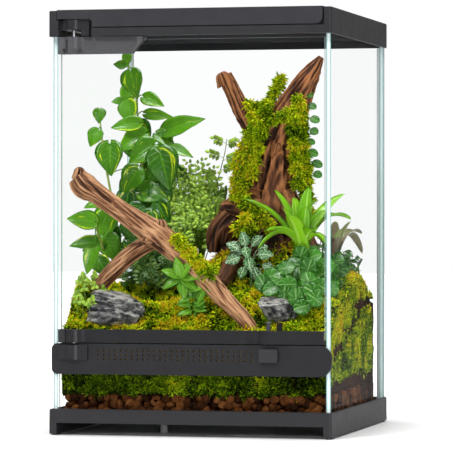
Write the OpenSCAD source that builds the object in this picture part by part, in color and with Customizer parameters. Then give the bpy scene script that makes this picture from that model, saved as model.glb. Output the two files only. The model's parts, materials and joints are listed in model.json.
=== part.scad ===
// Planted glass terrarium: framed glass tank, hinged front door with a drop
// latch, hinged mesh lid, and a planted landscape inside.
// Millimetres. X to the right, Y to the back, Z up, floor at Z = 0.

/* [Tank] */
// overall width of both frames
tank_w = 306; // [300:1:340]
// overall depth of both frames
tank_d = 306; // [300:1:340]
// overall height, floor to lid
tank_h = 450; // [430:1:480]
// side, back and floor glass thickness
glass_t = 5; // [4:0.5:6]
// glass inset from the frame's outside
glass_inset = 2.6; // [2:0.1:3.5]

/* [Base frame] */
// top of the base frame
base_top = 27.5; // [25:0.5:34]
// underside of the base's front rail
rail_z = 13; // [11:0.5:14]
// ledge that the glass stands on
seat_z = 16; // [15.5:0.5:18]
// wall thickness of the skirt and legs
leg_w = 8.6; // [7:0.2:9.4]
// width of the ledge ring under the glass
ring_w = 17; // [14:0.5:20]
// rubber foot thickness
pad_h = 1.2; // [1:0.1:2]
// support pad radius
peg_r = 4; // [3:0.5:6]

/* [Top frame] */
// height of the top frame
top_h = 28; // [26:0.5:32]
// how far the lid stands above the rim
lid_proud = 0.8; // [0.4:0.1:1.5]
// lid body thickness
lid_t = 10; // [8:0.5:11]
// lid frame bar width
lid_bar = 14; // [10:0.5:20]
// front lip of the lid, top to bottom
lip_h = 18.3; // [16:0.1:20]
// front lip thickness
lip_t = 3.6; // [3:0.1:5]
// gap round the lid
lid_gap = 1.9; // [1:0.1:2.5]
// lid hinge pin radius
lid_pin_r = 1.5; // [1:0.1:2]
// mesh bars in each direction
mesh_n = 15; // [8:1:17]
// mesh wire width
mesh_wire = 1.2; // [0.8:0.1:2]

/* [Door] */
// door glass thickness
door_t = 4; // [3:0.5:4.5]
// door hinge axis from the left outside
hinge_in = 24.5; // [24:0.5:27]
// door hinge axis from the front
hinge_back = 10.5; // [10.3:0.1:11]
// hinge barrel radius
barrel_r = 10; // [9:0.1:10]
// door hinge pin radius
hinge_pin_r = 2; // [1.5:0.1:2.4]
// bottom of the door rail
door_z = 98; // [97.5:0.1:100]
// height of the door rail
door_rail_h = 13.8; // [12:0.2:16]
// height of the top bracket
bracket_h = 17.8; // [15:0.2:20]
// length of the top bracket
bracket_l = 94; // [60:1:120]
// height of the bevel under the top bracket
bracket_bevel = 5.5; // [3:0.1:7]
// latch axis from the middle
latch_x = 84; // [70:1:100]
// latch pin radius
latch_r = 3.6; // [3:0.1:4]
// latch travel
latch_drop = 8; // [5:0.5:9]
// knob height above the rail
knob_h = 9.5; // [8.5:0.5:12]

/* [Vent] */
// bottom of the vent panel
vent_z = 64.5; // [60:0.5:68]
// height of the vent panel
vent_h = 32.5; // [30:0.5:33]
// vent hole radius
hole_r = 1.35; // [0.8:0.05:1.8]
// vent holes in a row
hole_n = 28; // [10:1:30]
// hole pitch along a row
hole_p = 6.15; // [5.5:0.05:6.4]
// hole pitch between rows
hole_pz = 4.6; // [4:0.1:5]

/* [Planting] */
// top of the pebble layer
pebble_z = 43; // [36:1:50]
// moss thickness
moss_t = 8; // [5:0.5:12]
// back edge of the planted mass
plant_back = 112; // [90:1:125]
// leaf thickness at the midrib
leaf_t = 0.9; // [0.6:0.1:1.5]

/* [Hidden] */
run = 0.05;
fit_gap = 0.2;
body_gap = 0.5;
hw = tank_w / 2;
hd = tank_d / 2;
top_z = tank_h - top_h;
rim_z = tank_h - lid_proud;
gx = hw - glass_inset;
ix = gx - glass_t;
gy = hd - glass_inset;
seat_front = -hd + 9.6;
roof_z = top_z + 8;
well_z = tank_h - lid_t - 1.2;
pane_top = roof_z;
ax = -hw + hinge_in;
ay = -hd + hinge_back;
sweep_r = hinge_in - glass_inset - glass_t - 0.3;
door_fy = ay + hinge_pin_r + body_gap;
door_by = door_fy + door_t;
door_ry = door_by + 2;
door_x0 = ax - sweep_r + 0.6;
door_x1 = ix - 2.4;
door_top = top_z - 0.5;
flat_y = -hd + 6;
vent_fy = -hd + 5.5;
vent_by = seat_front - 0.2;
house_by = door_ry + 0.4;
soil_fy = house_by + 0.2;
lid_x = hw - 9;
lid_ay = hd - 10.8;
lid_az = tank_h - 5;
floor_z = seat_z + glass_t;
latch_y = -hd + 9;
latch_shaft_r = latch_r - 1.2;
recess_x0 = ax - 13.9;
recess_x1 = ax + 22.8;
// inside width, inside depth and front plane that the planting is drawn for
land = [290.8, 278.8, -133.4];
land_sx = 2 * ix / land[0];
land_sy = (gy - glass_t - soil_fy) / land[1];
land_by = soil_fy + (plant_back - land[2]) * land_sy;

function unit(v) = v / norm(v);
function hash(a, b) = let(v = sin(a * 127.1 + b * 311.7) * 437.585) v - floor(v);
function smooth(t) = let(u = min(1, max(0, t))) u * u * (3 - 2 * u);
function arc(cx, cy, r, a0, a1, n) =
    [for (i = [0:n]) let(a = a0 + (a1 - a0) * i / n) [cx + r * cos(a), cy + r * sin(a)]];
function rrect(x0, x1, y0, y1, r) = concat(
    arc(x1 - r, y0 + r, r, -90, 0, 4), arc(x1 - r, y1 - r, r, 0, 90, 4),
    arc(x0 + r, y1 - r, r, 90, 180, 4), arc(x0 + r, y0 + r, r, 180, 270, 4));
function cr(a, b, c, d, t) = 0.5 * (2 * b + (c - a) * t
    + (2 * a - 5 * b + 4 * c - d) * t * t + (3 * b - a - 3 * c + d) * t * t * t);
// smooth run of points through hand-chosen ones, m steps between each pair
function spine(p, m) = concat(
    [for (k = [0:len(p) - 2], s = [0:m - 1])
        cr(p[max(k - 1, 0)], p[k], p[k + 1], p[min(k + 2, len(p) - 1)], s / m)],
    [p[len(p) - 1]]);
function xyz(p) = [p[0], p[1], p[2]];
function near(list, p) =
    let(d = [for (s = list) norm(xyz(s) - p)], i = search(min(d), d)[0]) xyz(list[i]);

// height of the moss surface, in the planting's own coordinates
function relief(x, y) = 103
    + 30 * smooth((y + 133) / 60)
    + 16 * smooth((y + 73) / 80)
    - 12 * smooth((y - 60) / 50)
    + 62 * exp(-pow((x - 45) / 78, 2) - pow((y - 22) / 72, 2))
    + 22 * exp(-pow((x + 140) / 34, 2) - pow((y + 82) / 40, 2))
    + 10 * exp(-pow((x - 96) / 44, 2) - pow((y + 92) / 30, 2))
    + 3 * sin(x * 6.1) * cos(y * 7.3);
// the same height at a place in the tank
function ground(x, y) = relief(x / land_sx, (y - soil_fy) / land_sy + land[2]);

module slab(x0, x1, y0, y1, z0, z1) {
    translate([x0, y0, z0])
        cube([x1 - x0, y1 - y0, z1 - z0]);
}

module rbar(x0, x1, y0, y1, z0, z1, r) {
    translate([0, 0, z0])
        linear_extrude(z1 - z0)
            polygon(rrect(x0, x1, y0, y1, r));
}

// fits the planting to the room between the panes
module landscape() {
    translate([0, soil_fy, 0])
        scale([land_sx, land_sy, 1])
            translate([0, -land[2], 0])
                children();
}

// closed skin over rings of n points each
module loft(p, n) {
    m = len(p) / n;
    polyhedron(
        points = p,
        faces = concat(
            [for (j = [0:m - 2], i = [0:n - 1], s = [0, 1])
                let(a = j * n + i, b = j * n + (i + 1) % n)
                s == 0 ? [a, a + n, b] : [b, a + n, b + n]],
            [for (i = [1:n - 2]) [0, i, i + 1]],
            [for (i = [1:n - 2])
                [(m - 1) * n, (m - 1) * n + i + 1, (m - 1) * n + i]]));
}

function ring(c, t, r, n, k, rough) =
    let(ref = abs(t[1]) > 0.9 ? [0, 0, 1] : [0, 1, 0], u = unit(cross(ref, t)), v = cross(t, u))
    [for (i = [0:n - 1])
        c + (u * cos(360 * i / n) + v * sin(360 * i / n)) * r
            * (1 + rough * (hash(i + 1, k + 1) - 0.5))];

// a branch: control points are [x, y, z, radius]
module limb(p, n, m, rough) {
    s = spine(p, m);
    e = len(s) - 1;
    loft([for (k = [0:e]) each ring(xyz(s[k]),
        unit(xyz(s[min(k + 1, e)]) - xyz(s[max(k - 1, 0)])), s[k][3], n, k, rough)], n);
}

// a thin stem through the points of s
module stem(s, r) {
    limb([for (q = s) [q[0], q[1], q[2], r]], 4, 1, 0);
}

module twig(a, b, r) {
    hull()
        loft(concat(ring(a, unit(b - a), r * 1.3, 3, 0, 0), ring(b, unit(b - a), r * 1.3, 3, 0, 0)), 3);
}

// leaf outlines: [midrib share, edge share, half width share]
heart = [[0.05, -0.1, 0.2], [0.16, 0.1, 0.47], [0.5, 0.5, 0.46], [0.8, 0.84, 0.18],
    [1, 1, 0.02]];
oval = [[0, 0, 0.03], [0.22, 0.22, 0.36], [0.5, 0.5, 0.5], [0.8, 0.8, 0.28], [1, 1, 0.02]];
disc = [[0, 0, 0.1], [0.24, 0.18, 0.45], [0.66, 0.7, 0.5], [1, 1, 0.1]];
dart = [[0, 0, 0.1], [0.4, 0.4, 0.5], [1, 1, 0.03]];

// leaf from its base p towards d, with its face towards up
module leaf(p, d, up, l, w, shape, fold, droop) {
    x = unit(d);
    y = unit(cross(up, x));
    z = cross(x, y);
    loft([for (s = shape) each
        let(c = p + x * (s[0] * l) - z * (droop * l * s[0] * s[0]),
            e = p + x * (s[1] * l) - z * (droop * l * s[1] * s[1]) + z * (fold * s[2] * w))
        [c, e - y * (s[2] * w), c - z * leaf_t, e + y * (s[2] * w)]], 4);
}

// leaf with its centre at c, its tip at angle a in the X-Z plane, facing front
module front_leaf(c, l, w, a, shape, lean) {
    d = unit([cos(a), -lean, sin(a)]);
    leaf(c - d * (0.45 * l), d, [0.1, -1, 0.35], l, w, shape, 0.3, 0.18);
}

// long leaf that arches from a to b
module strap(a, b, w, rise) {
    n = 5;
    share = [0.36, 0.47, 0.5, 0.44, 0.28, 0.04];
    function at(u) = a + (b - a) * u + [0, 0, rise * 4 * u * (1 - u) * (1 - 0.4 * u)];
    loft([for (k = [0:n]) each
        let(u = k / n, c = at(u), t = unit(at(u + 0.02) - at(u - 0.02)),
            side = unit(cross(t, [0, 0, 1])), up = cross(side, t), h = share[k] * w)
        [c, c + side * h + up * (0.4 * h), c - up * (leaf_t * 1.5), c - side * h + up * (0.4 * h)]], 4);
}

// Frame, glass and hinges

module base_frame() {
    color([0.17, 0.17, 0.18])
        difference() {
            union() {
                rbar(-hw + 0.5, hw - 0.5, -hd + 0.5, hd - 0.5, base_top - 1, base_top, 2.5);
                rbar(-hw, hw, -hd, hd, pad_h, base_top - 1, 3);
            }
            slab(-hw + ring_w, hw - ring_w, -hd + ring_w, hd - ring_w, -1, base_top + 1);
            slab(-gx - fit_gap, gx + fit_gap, seat_front - fit_gap, gy + fit_gap,
                seat_z, base_top + 1);
            slab(-hw + leg_w, hw - leg_w, -hd - 1, hd - leg_w, -1, rail_z);
        }
}

module foot_pads() {
    color([0.08, 0.08, 0.08])
        for (x = [-hw + 4.3, hw - 4.3], y = [-hd + 14, hd - 14])
            rbar(x - 3, x + 3, y - 10, y + 10, 0, pad_h, 2.5);
}

module support_pad() {
    color([0.72, 0.73, 0.74])
        translate([-44, -hd + 65, 0]) {
            cylinder(h = seat_z - 3, r = peg_r, $fn = 48);
            translate([0, 0, seat_z - 3])
                cylinder(h = 3, r = peg_r + 3, $fn = 48);
        }
}

module bottom_glass() {
    color([0.75, 0.86, 0.84, 0.4])
        slab(-ix + fit_gap, ix - fit_gap, door_by + fit_gap, gy - glass_t - fit_gap,
            seat_z, seat_z + glass_t);
}

module back_glass() {
    color([0.75, 0.86, 0.84, 0.4])
        slab(-gx, gx, gy - glass_t, gy, seat_z, pane_top);
}

module side_pane(x0) {
    color([0.75, 0.86, 0.84, 0.4])
        slab(x0, x0 + glass_t, seat_front, gy - glass_t - fit_gap, seat_z, pane_top);
}

module left_glass() {
    side_pane(-gx);
}

module right_glass() {
    side_pane(ix);
}

module front_lower_glass() {
    color([0.75, 0.86, 0.84, 0.4])
        slab(-ix + fit_gap, ix - fit_gap, door_fy, door_by, seat_z, vent_z + 14);
}

module silicone_seams() {
    color([0.62, 0.64, 0.65])
        for (s = [-1, 1])
            translate([0, 0, floor_z])
                linear_extrude(top_z - floor_z - 1)
                    polygon([[s * ix, gy - glass_t - 3], [s * ix, gy - glass_t],
                        [s * (ix - 3), gy - glass_t]]);
}

module top_frame() {
    color([0.19, 0.19, 0.2])
        difference() {
            union() {
                rbar(-hw, hw, -hd, hd, top_z, rim_z - 0.8, 3);
                rbar(-hw + 0.5, hw - 0.5, -hd + 0.5, hd - 0.5, rim_z - 0.8, rim_z, 2.5);
            }
            // through opening and glass rebate
            slab(-hw + ring_w, hw - ring_w, -hd + ring_w, hd - ring_w, top_z - 1, tank_h);
            slab(-gx - fit_gap, gx + fit_gap, seat_front - fit_gap, gy + fit_gap,
                top_z - 1, roof_z);
            // well for the lid, with a round trough along its hinge
            slab(-lid_x - 0.5, lid_x + 0.5 - 1.2 + lid_gap, -hd + lip_t + 0.4, lid_ay, well_z, tank_h);
            translate([-lid_x - 0.5, lid_ay, lid_az])
                rotate([0, 90, 0])
                    cylinder(h = 2 * lid_x - 0.2 + lid_gap, r = 5.6, $fn = 64);
            slab(-lid_x - 0.5, lid_x - 0.7 + lid_gap, lid_ay - 0.1, lid_ay + 5.6, lid_az, tank_h);
            // step for the lid's front lip
            slab(recess_x1 - 0.5, lid_x - 0.7 + lid_gap, -hd - 1, -hd + lip_t + 0.5,
                tank_h - lip_h - 1.2, tank_h);
            slab(-lid_x - 0.5, recess_x1, -hd - 1, -hd + lip_t + 0.5, tank_h - lid_t - 1, tank_h);
            // recess round the upper hinge
            slab(recess_x0, recess_x1, -hd - 1, -hd + 6.4, top_z - 1, tank_h - lid_t - 0.3);
            slab(recess_x0, ax + 10.4, -hd - 1, seat_front + 0.1, top_z - 1, top_z + 7);
            // bore for the door's upper pin
            translate([ax, ay, roof_z - 2])
                cylinder(h = top_z + 11.6 - roof_z + 2, r = hinge_pin_r, $fn = 64);
            for (s = [-1, 1])
                translate([s * (lid_x + 2.2), lid_ay, lid_az])
                    rotate([0, 90, 0])
                        cylinder(h = 8, r = lid_pin_r, center = true, $fn = 48);
        }
}

module upper_hinge_block() {
    z0 = top_z + 7.6;
    z1 = tank_h - lid_t - 0.3;
    color([0.15, 0.15, 0.16])
        union() {
            intersection() {
                translate([ax, ay, z0])
                    cylinder(h = z1 - z0, r = barrel_r, $fn = 96);
                slab(ax - 20, ax + 20, -hd, -hd + 6.4, z0, z1);
            }
            slab(ax - 9, recess_x1 - 3.6, -hd + 3, -hd + 6.4, z0, z1);
            slab(ax + 10.6, recess_x1 - 3.6, -hd + 2.4, -hd + 6.4, top_z + 0.6, z0);
        }
}

module hinge_pin(z0, z1) {
    color([0.75, 0.75, 0.77])
        translate([ax, ay, z0])
            cylinder(h = z1 - z0, r = hinge_pin_r, $fn = 64);
}

module upper_hinge_pin() {
    hinge_pin(door_top - 12, top_z + 11.6);
}

module lower_hinge_pin() {
    hinge_pin(vent_z + vent_h - 8, door_z + 10);
}

module vent_outline() {
    l = -gx - 1;
    r = gx + 1.6;
    b = vent_z;
    t = vent_z + vent_h;
    polygon(concat(
        arc(l + 6, b + 6, 6, 180, 270, 6),
        arc(r - 14, b + 14, 14, 270, 360, 10),
        arc(r - 13, t - 13, 13, 0, 90, 10),
        arc(l + 6, t - 6, 6, 90, 180, 6)));
}

module vent_plate(y0, y1) {
    translate([0, y1, 0])
        rotate([90, 0, 0])
            linear_extrude(y1 - y0)
                vent_outline();
}

module vent_panel() {
    zt = vent_z + vent_h;
    color([0.17, 0.17, 0.18])
        difference() {
            union() {
                vent_plate(vent_fy, vent_by);
                slab(-ix + 0.6, ix - 0.6, vent_by - 0.1, house_by, vent_z, zt);
            }
            // lower face leans back
            translate([-hw, vent_fy, vent_z + 13.5])
                rotate([-10, 0, 0])
                    translate([0, -10, -20])
                        cube([tank_w, 10, 20]);
            // chamber behind the holes, open to the tank
            slab(-106, latch_x - 10, vent_fy + 2.2, house_by + 1, vent_z + 14 + fit_gap, zt - 2.2);
            // slot for the lower pane
            slab(-ix, ix, door_fy - fit_gap, door_by + fit_gap, vent_z - 1, vent_z + 14 + fit_gap);
            for (i = [0:hole_n - 1], k = [0:2])
                translate([-99.5 + i * hole_p, vent_fy - 1, zt - 7 - k * hole_pz])
                    rotate([-90, 0, 0])
                        cylinder(h = 5, r = hole_r, $fn = 8);
            // pocket that the latch drops into
            translate([latch_x, latch_y, zt - latch_drop - 2])
                cylinder(h = latch_drop + 3, r = latch_shaft_r + 0.3, $fn = 64);
            translate([ax, ay, zt - 8])
                cylinder(h = 9, r = hinge_pin_r, $fn = 64);
        }
}

module vent_screen() {
    zt = vent_z + vent_h;
    color([0.62, 0.48, 0.3])
        slab(-104, latch_x - 12, vent_fy + 2.2, vent_fy + 2.8, vent_z + 14 + fit_gap, zt - 2.2);
}

module lower_hinge_block() {
    z0 = vent_z + 15.5;
    z1 = vent_z + vent_h - 1.5;
    color([0.15, 0.15, 0.16])
        difference() {
            union() {
                intersection() {
                    translate([ax, ay, z0])
                        cylinder(h = z1 - z0, r = barrel_r, $fn = 96);
                    slab(ax - 20, ax + 20, -hd, vent_fy, z0, z1);
                }
                slab(ax - 15, ax + 17, vent_fy - 2.2, vent_fy, z0, z1);
            }
            translate([ax, ay, z0 - 1])
                cylinder(h = 30, r = hinge_pin_r + 0.5, $fn = 48);
        }
}

module latch_keeper() {
    z1 = vent_z + vent_h - 4;
    color([0.17, 0.17, 0.18])
        translate([0, vent_fy, 0])
            rotate([90, 0, 0])
                linear_extrude(4)
                    polygon(rrect(latch_x - 9, latch_x + 11, z1 - 14, z1, 2));
}

module lid_hinge_pins() {
    color([0.7, 0.7, 0.72])
        for (s = [-1, 1])
            translate([s * (lid_x - 4), lid_ay, lid_az])
                rotate([0, 90, 0])
                    cylinder(h = 20, r = lid_pin_r, center = true, $fn = 48);
}

module lid_frame() {
    x1 = lid_x - 0.4;
    z0 = tank_h - lid_t;
    color([0.2, 0.2, 0.21])
        difference() {
            union() {
                slab(-lid_x, x1, -hd + lip_t - 0.1, lid_ay, z0 + 0.4, tank_h);
                translate([-lid_x, lid_ay, lid_az])
                    rotate([0, 90, 0])
                        cylinder(h = lid_x + x1, r = 5, $fn = 96);
                translate([0, -hd + lip_t, 0])
                    rotate([90, 0, 0])
                        linear_extrude(lip_t)
                            polygon(concat(
                                [[-lid_x, tank_h], [-lid_x, tank_h - lid_t + 0.2]],
                                [[recess_x1 + 0.4, tank_h - lid_t + 0.2]],
                                [[recess_x1 + 0.4, tank_h - lip_h]],
                                arc(x1 - 7, tank_h - lip_h + 7, 7, 270, 360, 6),
                                [[x1, tank_h]]));
            }
            slab(-lid_x + lid_bar, x1 - lid_bar, -hd + lip_t + lid_bar, lid_ay - lid_bar + 2,
                z0 - 1, tank_h + 1);
            // rebate that holds the mesh from below
            slab(-lid_x + lid_bar - 5, x1 - lid_bar + 5, -hd + lip_t + lid_bar - 5,
                lid_ay - lid_bar + 7, z0 - 1, z0 + 4);
            for (s = [-lid_x + 6, x1 - 5.6])
                translate([s, lid_ay, lid_az])
                    rotate([0, 90, 0])
                        cylinder(h = 18, r = lid_pin_r + run, center = true, $fn = 48);
        }
}

module lid_screen() {
    x0 = -lid_x + lid_bar - 5 + fit_gap;
    x1 = lid_x - 0.4 - lid_bar + 5 - fit_gap;
    y0 = -hd + lip_t + lid_bar - 5 + fit_gap;
    y1 = lid_ay - lid_bar + 7 - fit_gap;
    z = tank_h - lid_t + 4;
    px = (x1 - x0 - 8) / mesh_n;
    py = (y1 - y0 - 8) / mesh_n;
    color([0.35, 0.35, 0.36])
        difference() {
            slab(x0, x1, y0, y1, z - 1.2, z);
            for (i = [0:mesh_n - 1], j = [0:mesh_n - 1])
                translate([x0 + 4 + i * px + mesh_wire / 2, y0 + 4 + j * py + mesh_wire / 2, z - 2])
                    cube([px - mesh_wire, py - mesh_wire, 3]);
        }
}

module door_glass() {
    color([0.75, 0.86, 0.84, 0.3])
        slab(door_x0 + 1.4, door_x1, door_fy, door_by, door_z + 4, door_top - 3);
}

// plan outline shared by the rail and the bracket at the hinge end
function hinge_plan() = concat(
    arc(ax, ay, sweep_r, 152, 211, 8),
    arc(ax, ay, barrel_r, 218, 322, 12),
    [[ax + 10, ay - 4.2], [ax + 13, ay - 3.2], [ax + 18, ay - 3], [ax + 22, ay - 3.6]]);

module door_rail() {
    f = flat_y;
    color([0.17, 0.17, 0.18])
        difference() {
            translate([0, 0, door_z])
                linear_extrude(door_rail_h)
                    polygon(concat(
                        hinge_plan(),
                        [[ax + 26, f], [latch_x - 30, f], [latch_x - 24, f + 1.2],
                            [latch_x - 17, f + 1.6], [latch_x - 11, f + 0.6],
                            [latch_x - 7, f - 2.6], [latch_x - 3, f - 4.8],
                            [latch_x + 2, f - 5], [latch_x + 7, f - 4],
                            [latch_x + 14, f - 2.6], [latch_x + 30, f - 1],
                            [door_x1 - 1, f], [door_x1, f + 1], [door_x1, door_ry]]));
            // glass slot, hinge bore and latch bore
            slab(door_x0 + 1.2, door_x1 + 1, door_fy - fit_gap, door_by + fit_gap,
                door_z + 4, door_z + door_rail_h + 1);
            translate([ax, ay, door_z - 1])
                cylinder(h = 12, r = hinge_pin_r + run, $fn = 64);
            translate([latch_x, latch_y, door_z - 1])
                cylinder(h = door_rail_h + 2, r = latch_shaft_r + run, $fn = 64);
        }
}

module door_top_bracket() {
    z0 = door_top - bracket_h;
    zb = z0 + bracket_bevel;
    x1 = door_x0 + bracket_l;
    color([0.17, 0.17, 0.18])
        difference() {
            translate([0, 0, z0])
                linear_extrude(bracket_h)
                    polygon(concat(
                        hinge_plan(),
                        [[ax + 26, flat_y], [x1 - 7, flat_y], [x1 - 2, flat_y + 3],
                            [x1, flat_y + 8], [x1, door_ry]]));
            // bevel under the flat faces, then round the barrel
            for (s = [[door_x0 - 5, ax - 9.6, ay - 8.5], [ax + 9.6, x1 + 5, flat_y]])
                translate([s[0], s[2], zb])
                    rotate([-48, 0, 0])
                        translate([0, -20, -12])
                            cube([s[1] - s[0], 40, 12]);
            difference() {
                slab(ax - 9.6, ax + 9.6, -hd - 1, ay - 3, z0 - 1, zb);
                translate([ax, ay, z0 - 1])
                    cylinder(h = bracket_bevel + 1.5, r1 = barrel_r - bracket_bevel - 1,
                        r2 = barrel_r + 0.5, $fn = 96);
            }
            // the free end leans
            translate([x1 - 14, -hd - 5, z0])
                rotate([0, -50, 0])
                    translate([0, 0, -30])
                        cube([60, 30, 30]);
            slab(ax - sweep_r + 11, ax - sweep_r + 12.4, -hd - 1, ay - 6, z0 - 1, door_top - 3);
            slab(door_x0 + 1.2, x1 + 1, door_fy - fit_gap, door_by + fit_gap,
                z0 - 1, door_top - 3);
            translate([ax, ay, door_top - 13])
                cylinder(h = 14, r = hinge_pin_r + run, $fn = 64);
        }
}

module latch_buffer() {
    z = door_z + door_rail_h;
    color([0.05, 0.05, 0.05])
        rbar(latch_x + 7, latch_x + 13, door_by, door_by + 1.8, z, z + 8.5, 0.5);
}

module latch_pin() {
    z = door_z + door_rail_h;
    color([0.3, 0.3, 0.32])
        translate([latch_x, latch_y, 0]) {
            translate([0, 0, door_z + 0.4])
                cylinder(h = door_rail_h + latch_drop + 0.2, r = latch_shaft_r, $fn = 64);
            translate([0, 0, z + latch_drop + 0.2])
                cylinder(h = knob_h - latch_drop - 0.8, r = latch_r, $fn = 64);
            translate([0, 0, z + knob_h - 0.6])
                cylinder(h = 0.6, r1 = latch_r, r2 = latch_r - 0.5, $fn = 64);
        }
}

// Planting

module notch() {
    translate([ax, ay, vent_z + vent_h + 0.3])
        cylinder(h = 200, r = sweep_r + 1, $fn = 48);
}

module drainage_layer() {
    color([0.42, 0.22, 0.15])
        slab(-ix + fit_gap, ix - fit_gap, soil_fy, land_by, floor_z, pebble_z);
}

// terrain block between two heights given by lists of offsets from the ground
module terrain(x0, x1, y0, y1, nx, ny, low, cover) {
    w = nx + 1;
    gp = [for (s = [0, 1], j = [0:ny], i = [0:nx])
        let(x = x0 + (x1 - x0) * i / nx, y = y0 + (y1 - y0) * j / ny,
            g = max(ground(x, y), low + 4))
        [x, y, s == 1 ? (cover > 0 ? g : g - moss_t) : (cover > 0 ? g - moss_t : low)]];
    k = w * (ny + 1);
    top = [for (j = [0:ny - 1], i = [0:nx - 1], h = [0, 1])
        let(a = j * w + i) h == 0 ? [a, a + w, a + 1] : [a + 1, a + w, a + w + 1]];
    edge = concat(
        [for (i = [0:nx - 1]) [i, i + 1]],
        [for (j = [0:ny - 1]) [j * w + nx, (j + 1) * w + nx]],
        [for (i = [nx:-1:1]) [ny * w + i, ny * w + i - 1]],
        [for (j = [ny:-1:1]) [j * w, (j - 1) * w]]);
    polyhedron(
        points = gp,
        faces = concat(
            [for (t = top) [t[0] + k, t[1] + k, t[2] + k]],
            [for (t = top) [t[0], t[2], t[1]]],
            [for (e = edge) [e[0], e[0] + k, e[1]]],
            [for (e = edge) [e[1], e[0] + k, e[1] + k]]));
}

module soil_bed() {
    color([0.25, 0.17, 0.12])
        difference() {
            terrain(-ix + fit_gap, ix - fit_gap, soil_fy + 6, land_by, 14, 12, pebble_z, 0);
            notch();
        }
}

module moss_carpet() {
    color([0.42, 0.55, 0.1])
        difference() {
            terrain(-ix + fit_gap, ix - fit_gap, soil_fy + 6, land_by, 14, 12, pebble_z, 1);
            notch();
        }
}

module moss_front() {
    n = 14;
    x0 = -ix + fit_gap;
    x1 = ix - fit_gap;
    y1 = soil_fy + 6;
    pts = concat([[x0, pebble_z]],
        [for (i = [0:n]) let(x = x0 + (x1 - x0) * i / n) [x, ground(x, y1)]],
        [[x1, pebble_z]]);
    color([0.48, 0.62, 0.12])
        difference() {
            translate([0, y1, 0])
                rotate([90, 0, 0])
                    linear_extrude(y1 - soil_fy)
                        polygon(pts);
            notch();
        }
}

// small cushions scattered by rule over the ground
module moss_tufts() {
    color([0.55, 0.68, 0.15])
        for (i = [0:5], j = [0:3]) {
            x = -122 + i * 48 + 16 * (hash(i, j) - 0.5);
            y = -108 + j * 60 + 20 * (hash(j + 9, i) - 0.5);
            r = 8 + 4 * hash(i + 3, j + 5);
            z = relief(x, y) - moss_t / 2;
            hull() {
                translate([x, y, z])
                    cylinder(h = 1, r = r, $fn = 6);
                translate([x, y, z + r * 0.9])
                    cylinder(h = 0.6, r = r * 0.4, $fn = 4);
            }
        }
}

module driftwood_arch() {
    color([0.45, 0.27, 0.16]) {
        limb([[-134, -110, 274, 10], [-126, -109, 264, 13], [-110, -106, 253, 10.5],
            [-80, -100, 232, 11], [-48, -96, 210, 14], [-22, -96, 190, 12],
            [2, -99, 168, 11], [28, -106, 143, 9], [50, -114, 124, 8], [66, -119, 106, 6]],
            9, 3, 0.35);
        limb([[-44, -92, 212, 9], [-76, -86, 194, 9], [-104, -82, 171, 8.5],
            [-126, -77, 148, 7], [-133, -75, 136, 6]], 8, 3, 0.35);
        // knots and broken stubs
        for (k = [[[-131, -112, 284], [-132, -110, 275]], [[-137, -112, 263], [-130, -110, 264]],
            [[-44, -100, 228], [-44, -97, 214]], [[-60, -110, 204], [-56, -98, 208]],
            [[-20, -98, 203], [-20, -96, 192]], [[26, -110, 152], [24, -105, 146]],
            [[-96, -110, 248], [-92, -104, 242]], [[-12, -104, 176], [-12, -98, 182]]])
            hull() {
                translate(k[0])
                    sphere(r = 3.4, $fn = 6);
                translate(k[1])
                    sphere(r = 7, $fn = 6);
            }
    }
}

module driftwood_stump() {
    color([0.4, 0.24, 0.15]) {
        limb([[44, 20, 180, 40], [44, 20, 212, 34], [48, 20, 245, 28], [51, 20, 275, 25],
            [56, 20, 305, 24], [66, 20, 336, 20], [82, 20, 368, 15], [95, 20, 390, 10],
            [105, 20, 406, 3.2]], 10, 3, 0.3);
        limb([[46, 20, 296, 15], [32, 21, 322, 12], [17, 22, 344, 10], [6, 22, 366, 9],
            [-4, 21, 387, 8]], 9, 3, 0.3);
        limb([[40, 14, 240, 20], [18, 8, 236, 16], [2, 4, 238, 12], [-5, 2, 240, 7]], 9, 2, 0.3);
        limb([[10, 4, 232, 13], [-2, 2, 214, 15], [-4, 2, 192, 14]], 9, 2, 0.3);
        limb([[62, 12, 250, 18], [80, 4, 226, 14], [94, -6, 204, 10], [104, -12, 186, 8]], 8, 2, 0.3);
        limb([[40, -10, 214, 16], [34, -34, 196, 12], [22, -52, 178, 9], [14, -64, 160, 7]], 8, 2, 0.3);
        for (k = [[[62, -6, 312], [56, 8, 300]], [[40, 0, 330], [36, 14, 322]],
            [[68, 4, 262], [60, 12, 256]], [[30, -6, 262], [38, 8, 258]],
            [[90, 16, 388], [86, 20, 376]], [[-8, 18, 390], [-3, 20, 380]],
            [[52, -14, 236], [50, 4, 232]], [[74, 10, 322], [66, 16, 318]]])
            hull() {
                translate(k[0])
                    sphere(r = 3.6, $fn = 6);
                translate(k[1])
                    sphere(r = 8, $fn = 6);
            }
    }
}

module rock(p) {
    hull()
        for (q = p)
            translate(q)
                cube(1.6, center = true);
}

module rock_left() {
    color([0.3, 0.31, 0.33])
        rock([[-128, -112, 114], [-130, -92, 116], [-122, -108, 142], [-124, -94, 145],
            [-112, -104, 152], [-106, -96, 153], [-88, -104, 148], [-68, -100, 138],
            [-66, -88, 136], [-62, -110, 124], [-64, -92, 116], [-96, -118, 128],
            [-78, -118, 126], [-98, -116, 112], [-70, -114, 112]]);
}

module rock_right() {
    color([0.36, 0.37, 0.39])
        rock([[64, -116, 118], [66, -100, 124], [68, -112, 142], [78, -110, 146],
            [92, -108, 143], [104, -112, 134], [108, -118, 122], [104, -102, 120],
            [84, -122, 120], [72, -120, 126], [96, -122, 124]]);
}

module blob(p, r) {
    hull() {
        translate(p)
            sphere(r = r, $fn = 6);
        translate(p + [r * 0.4, -r * 0.2, -r * 0.5])
            sphere(r = r * 0.7, $fn = 5);
    }
}

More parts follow.
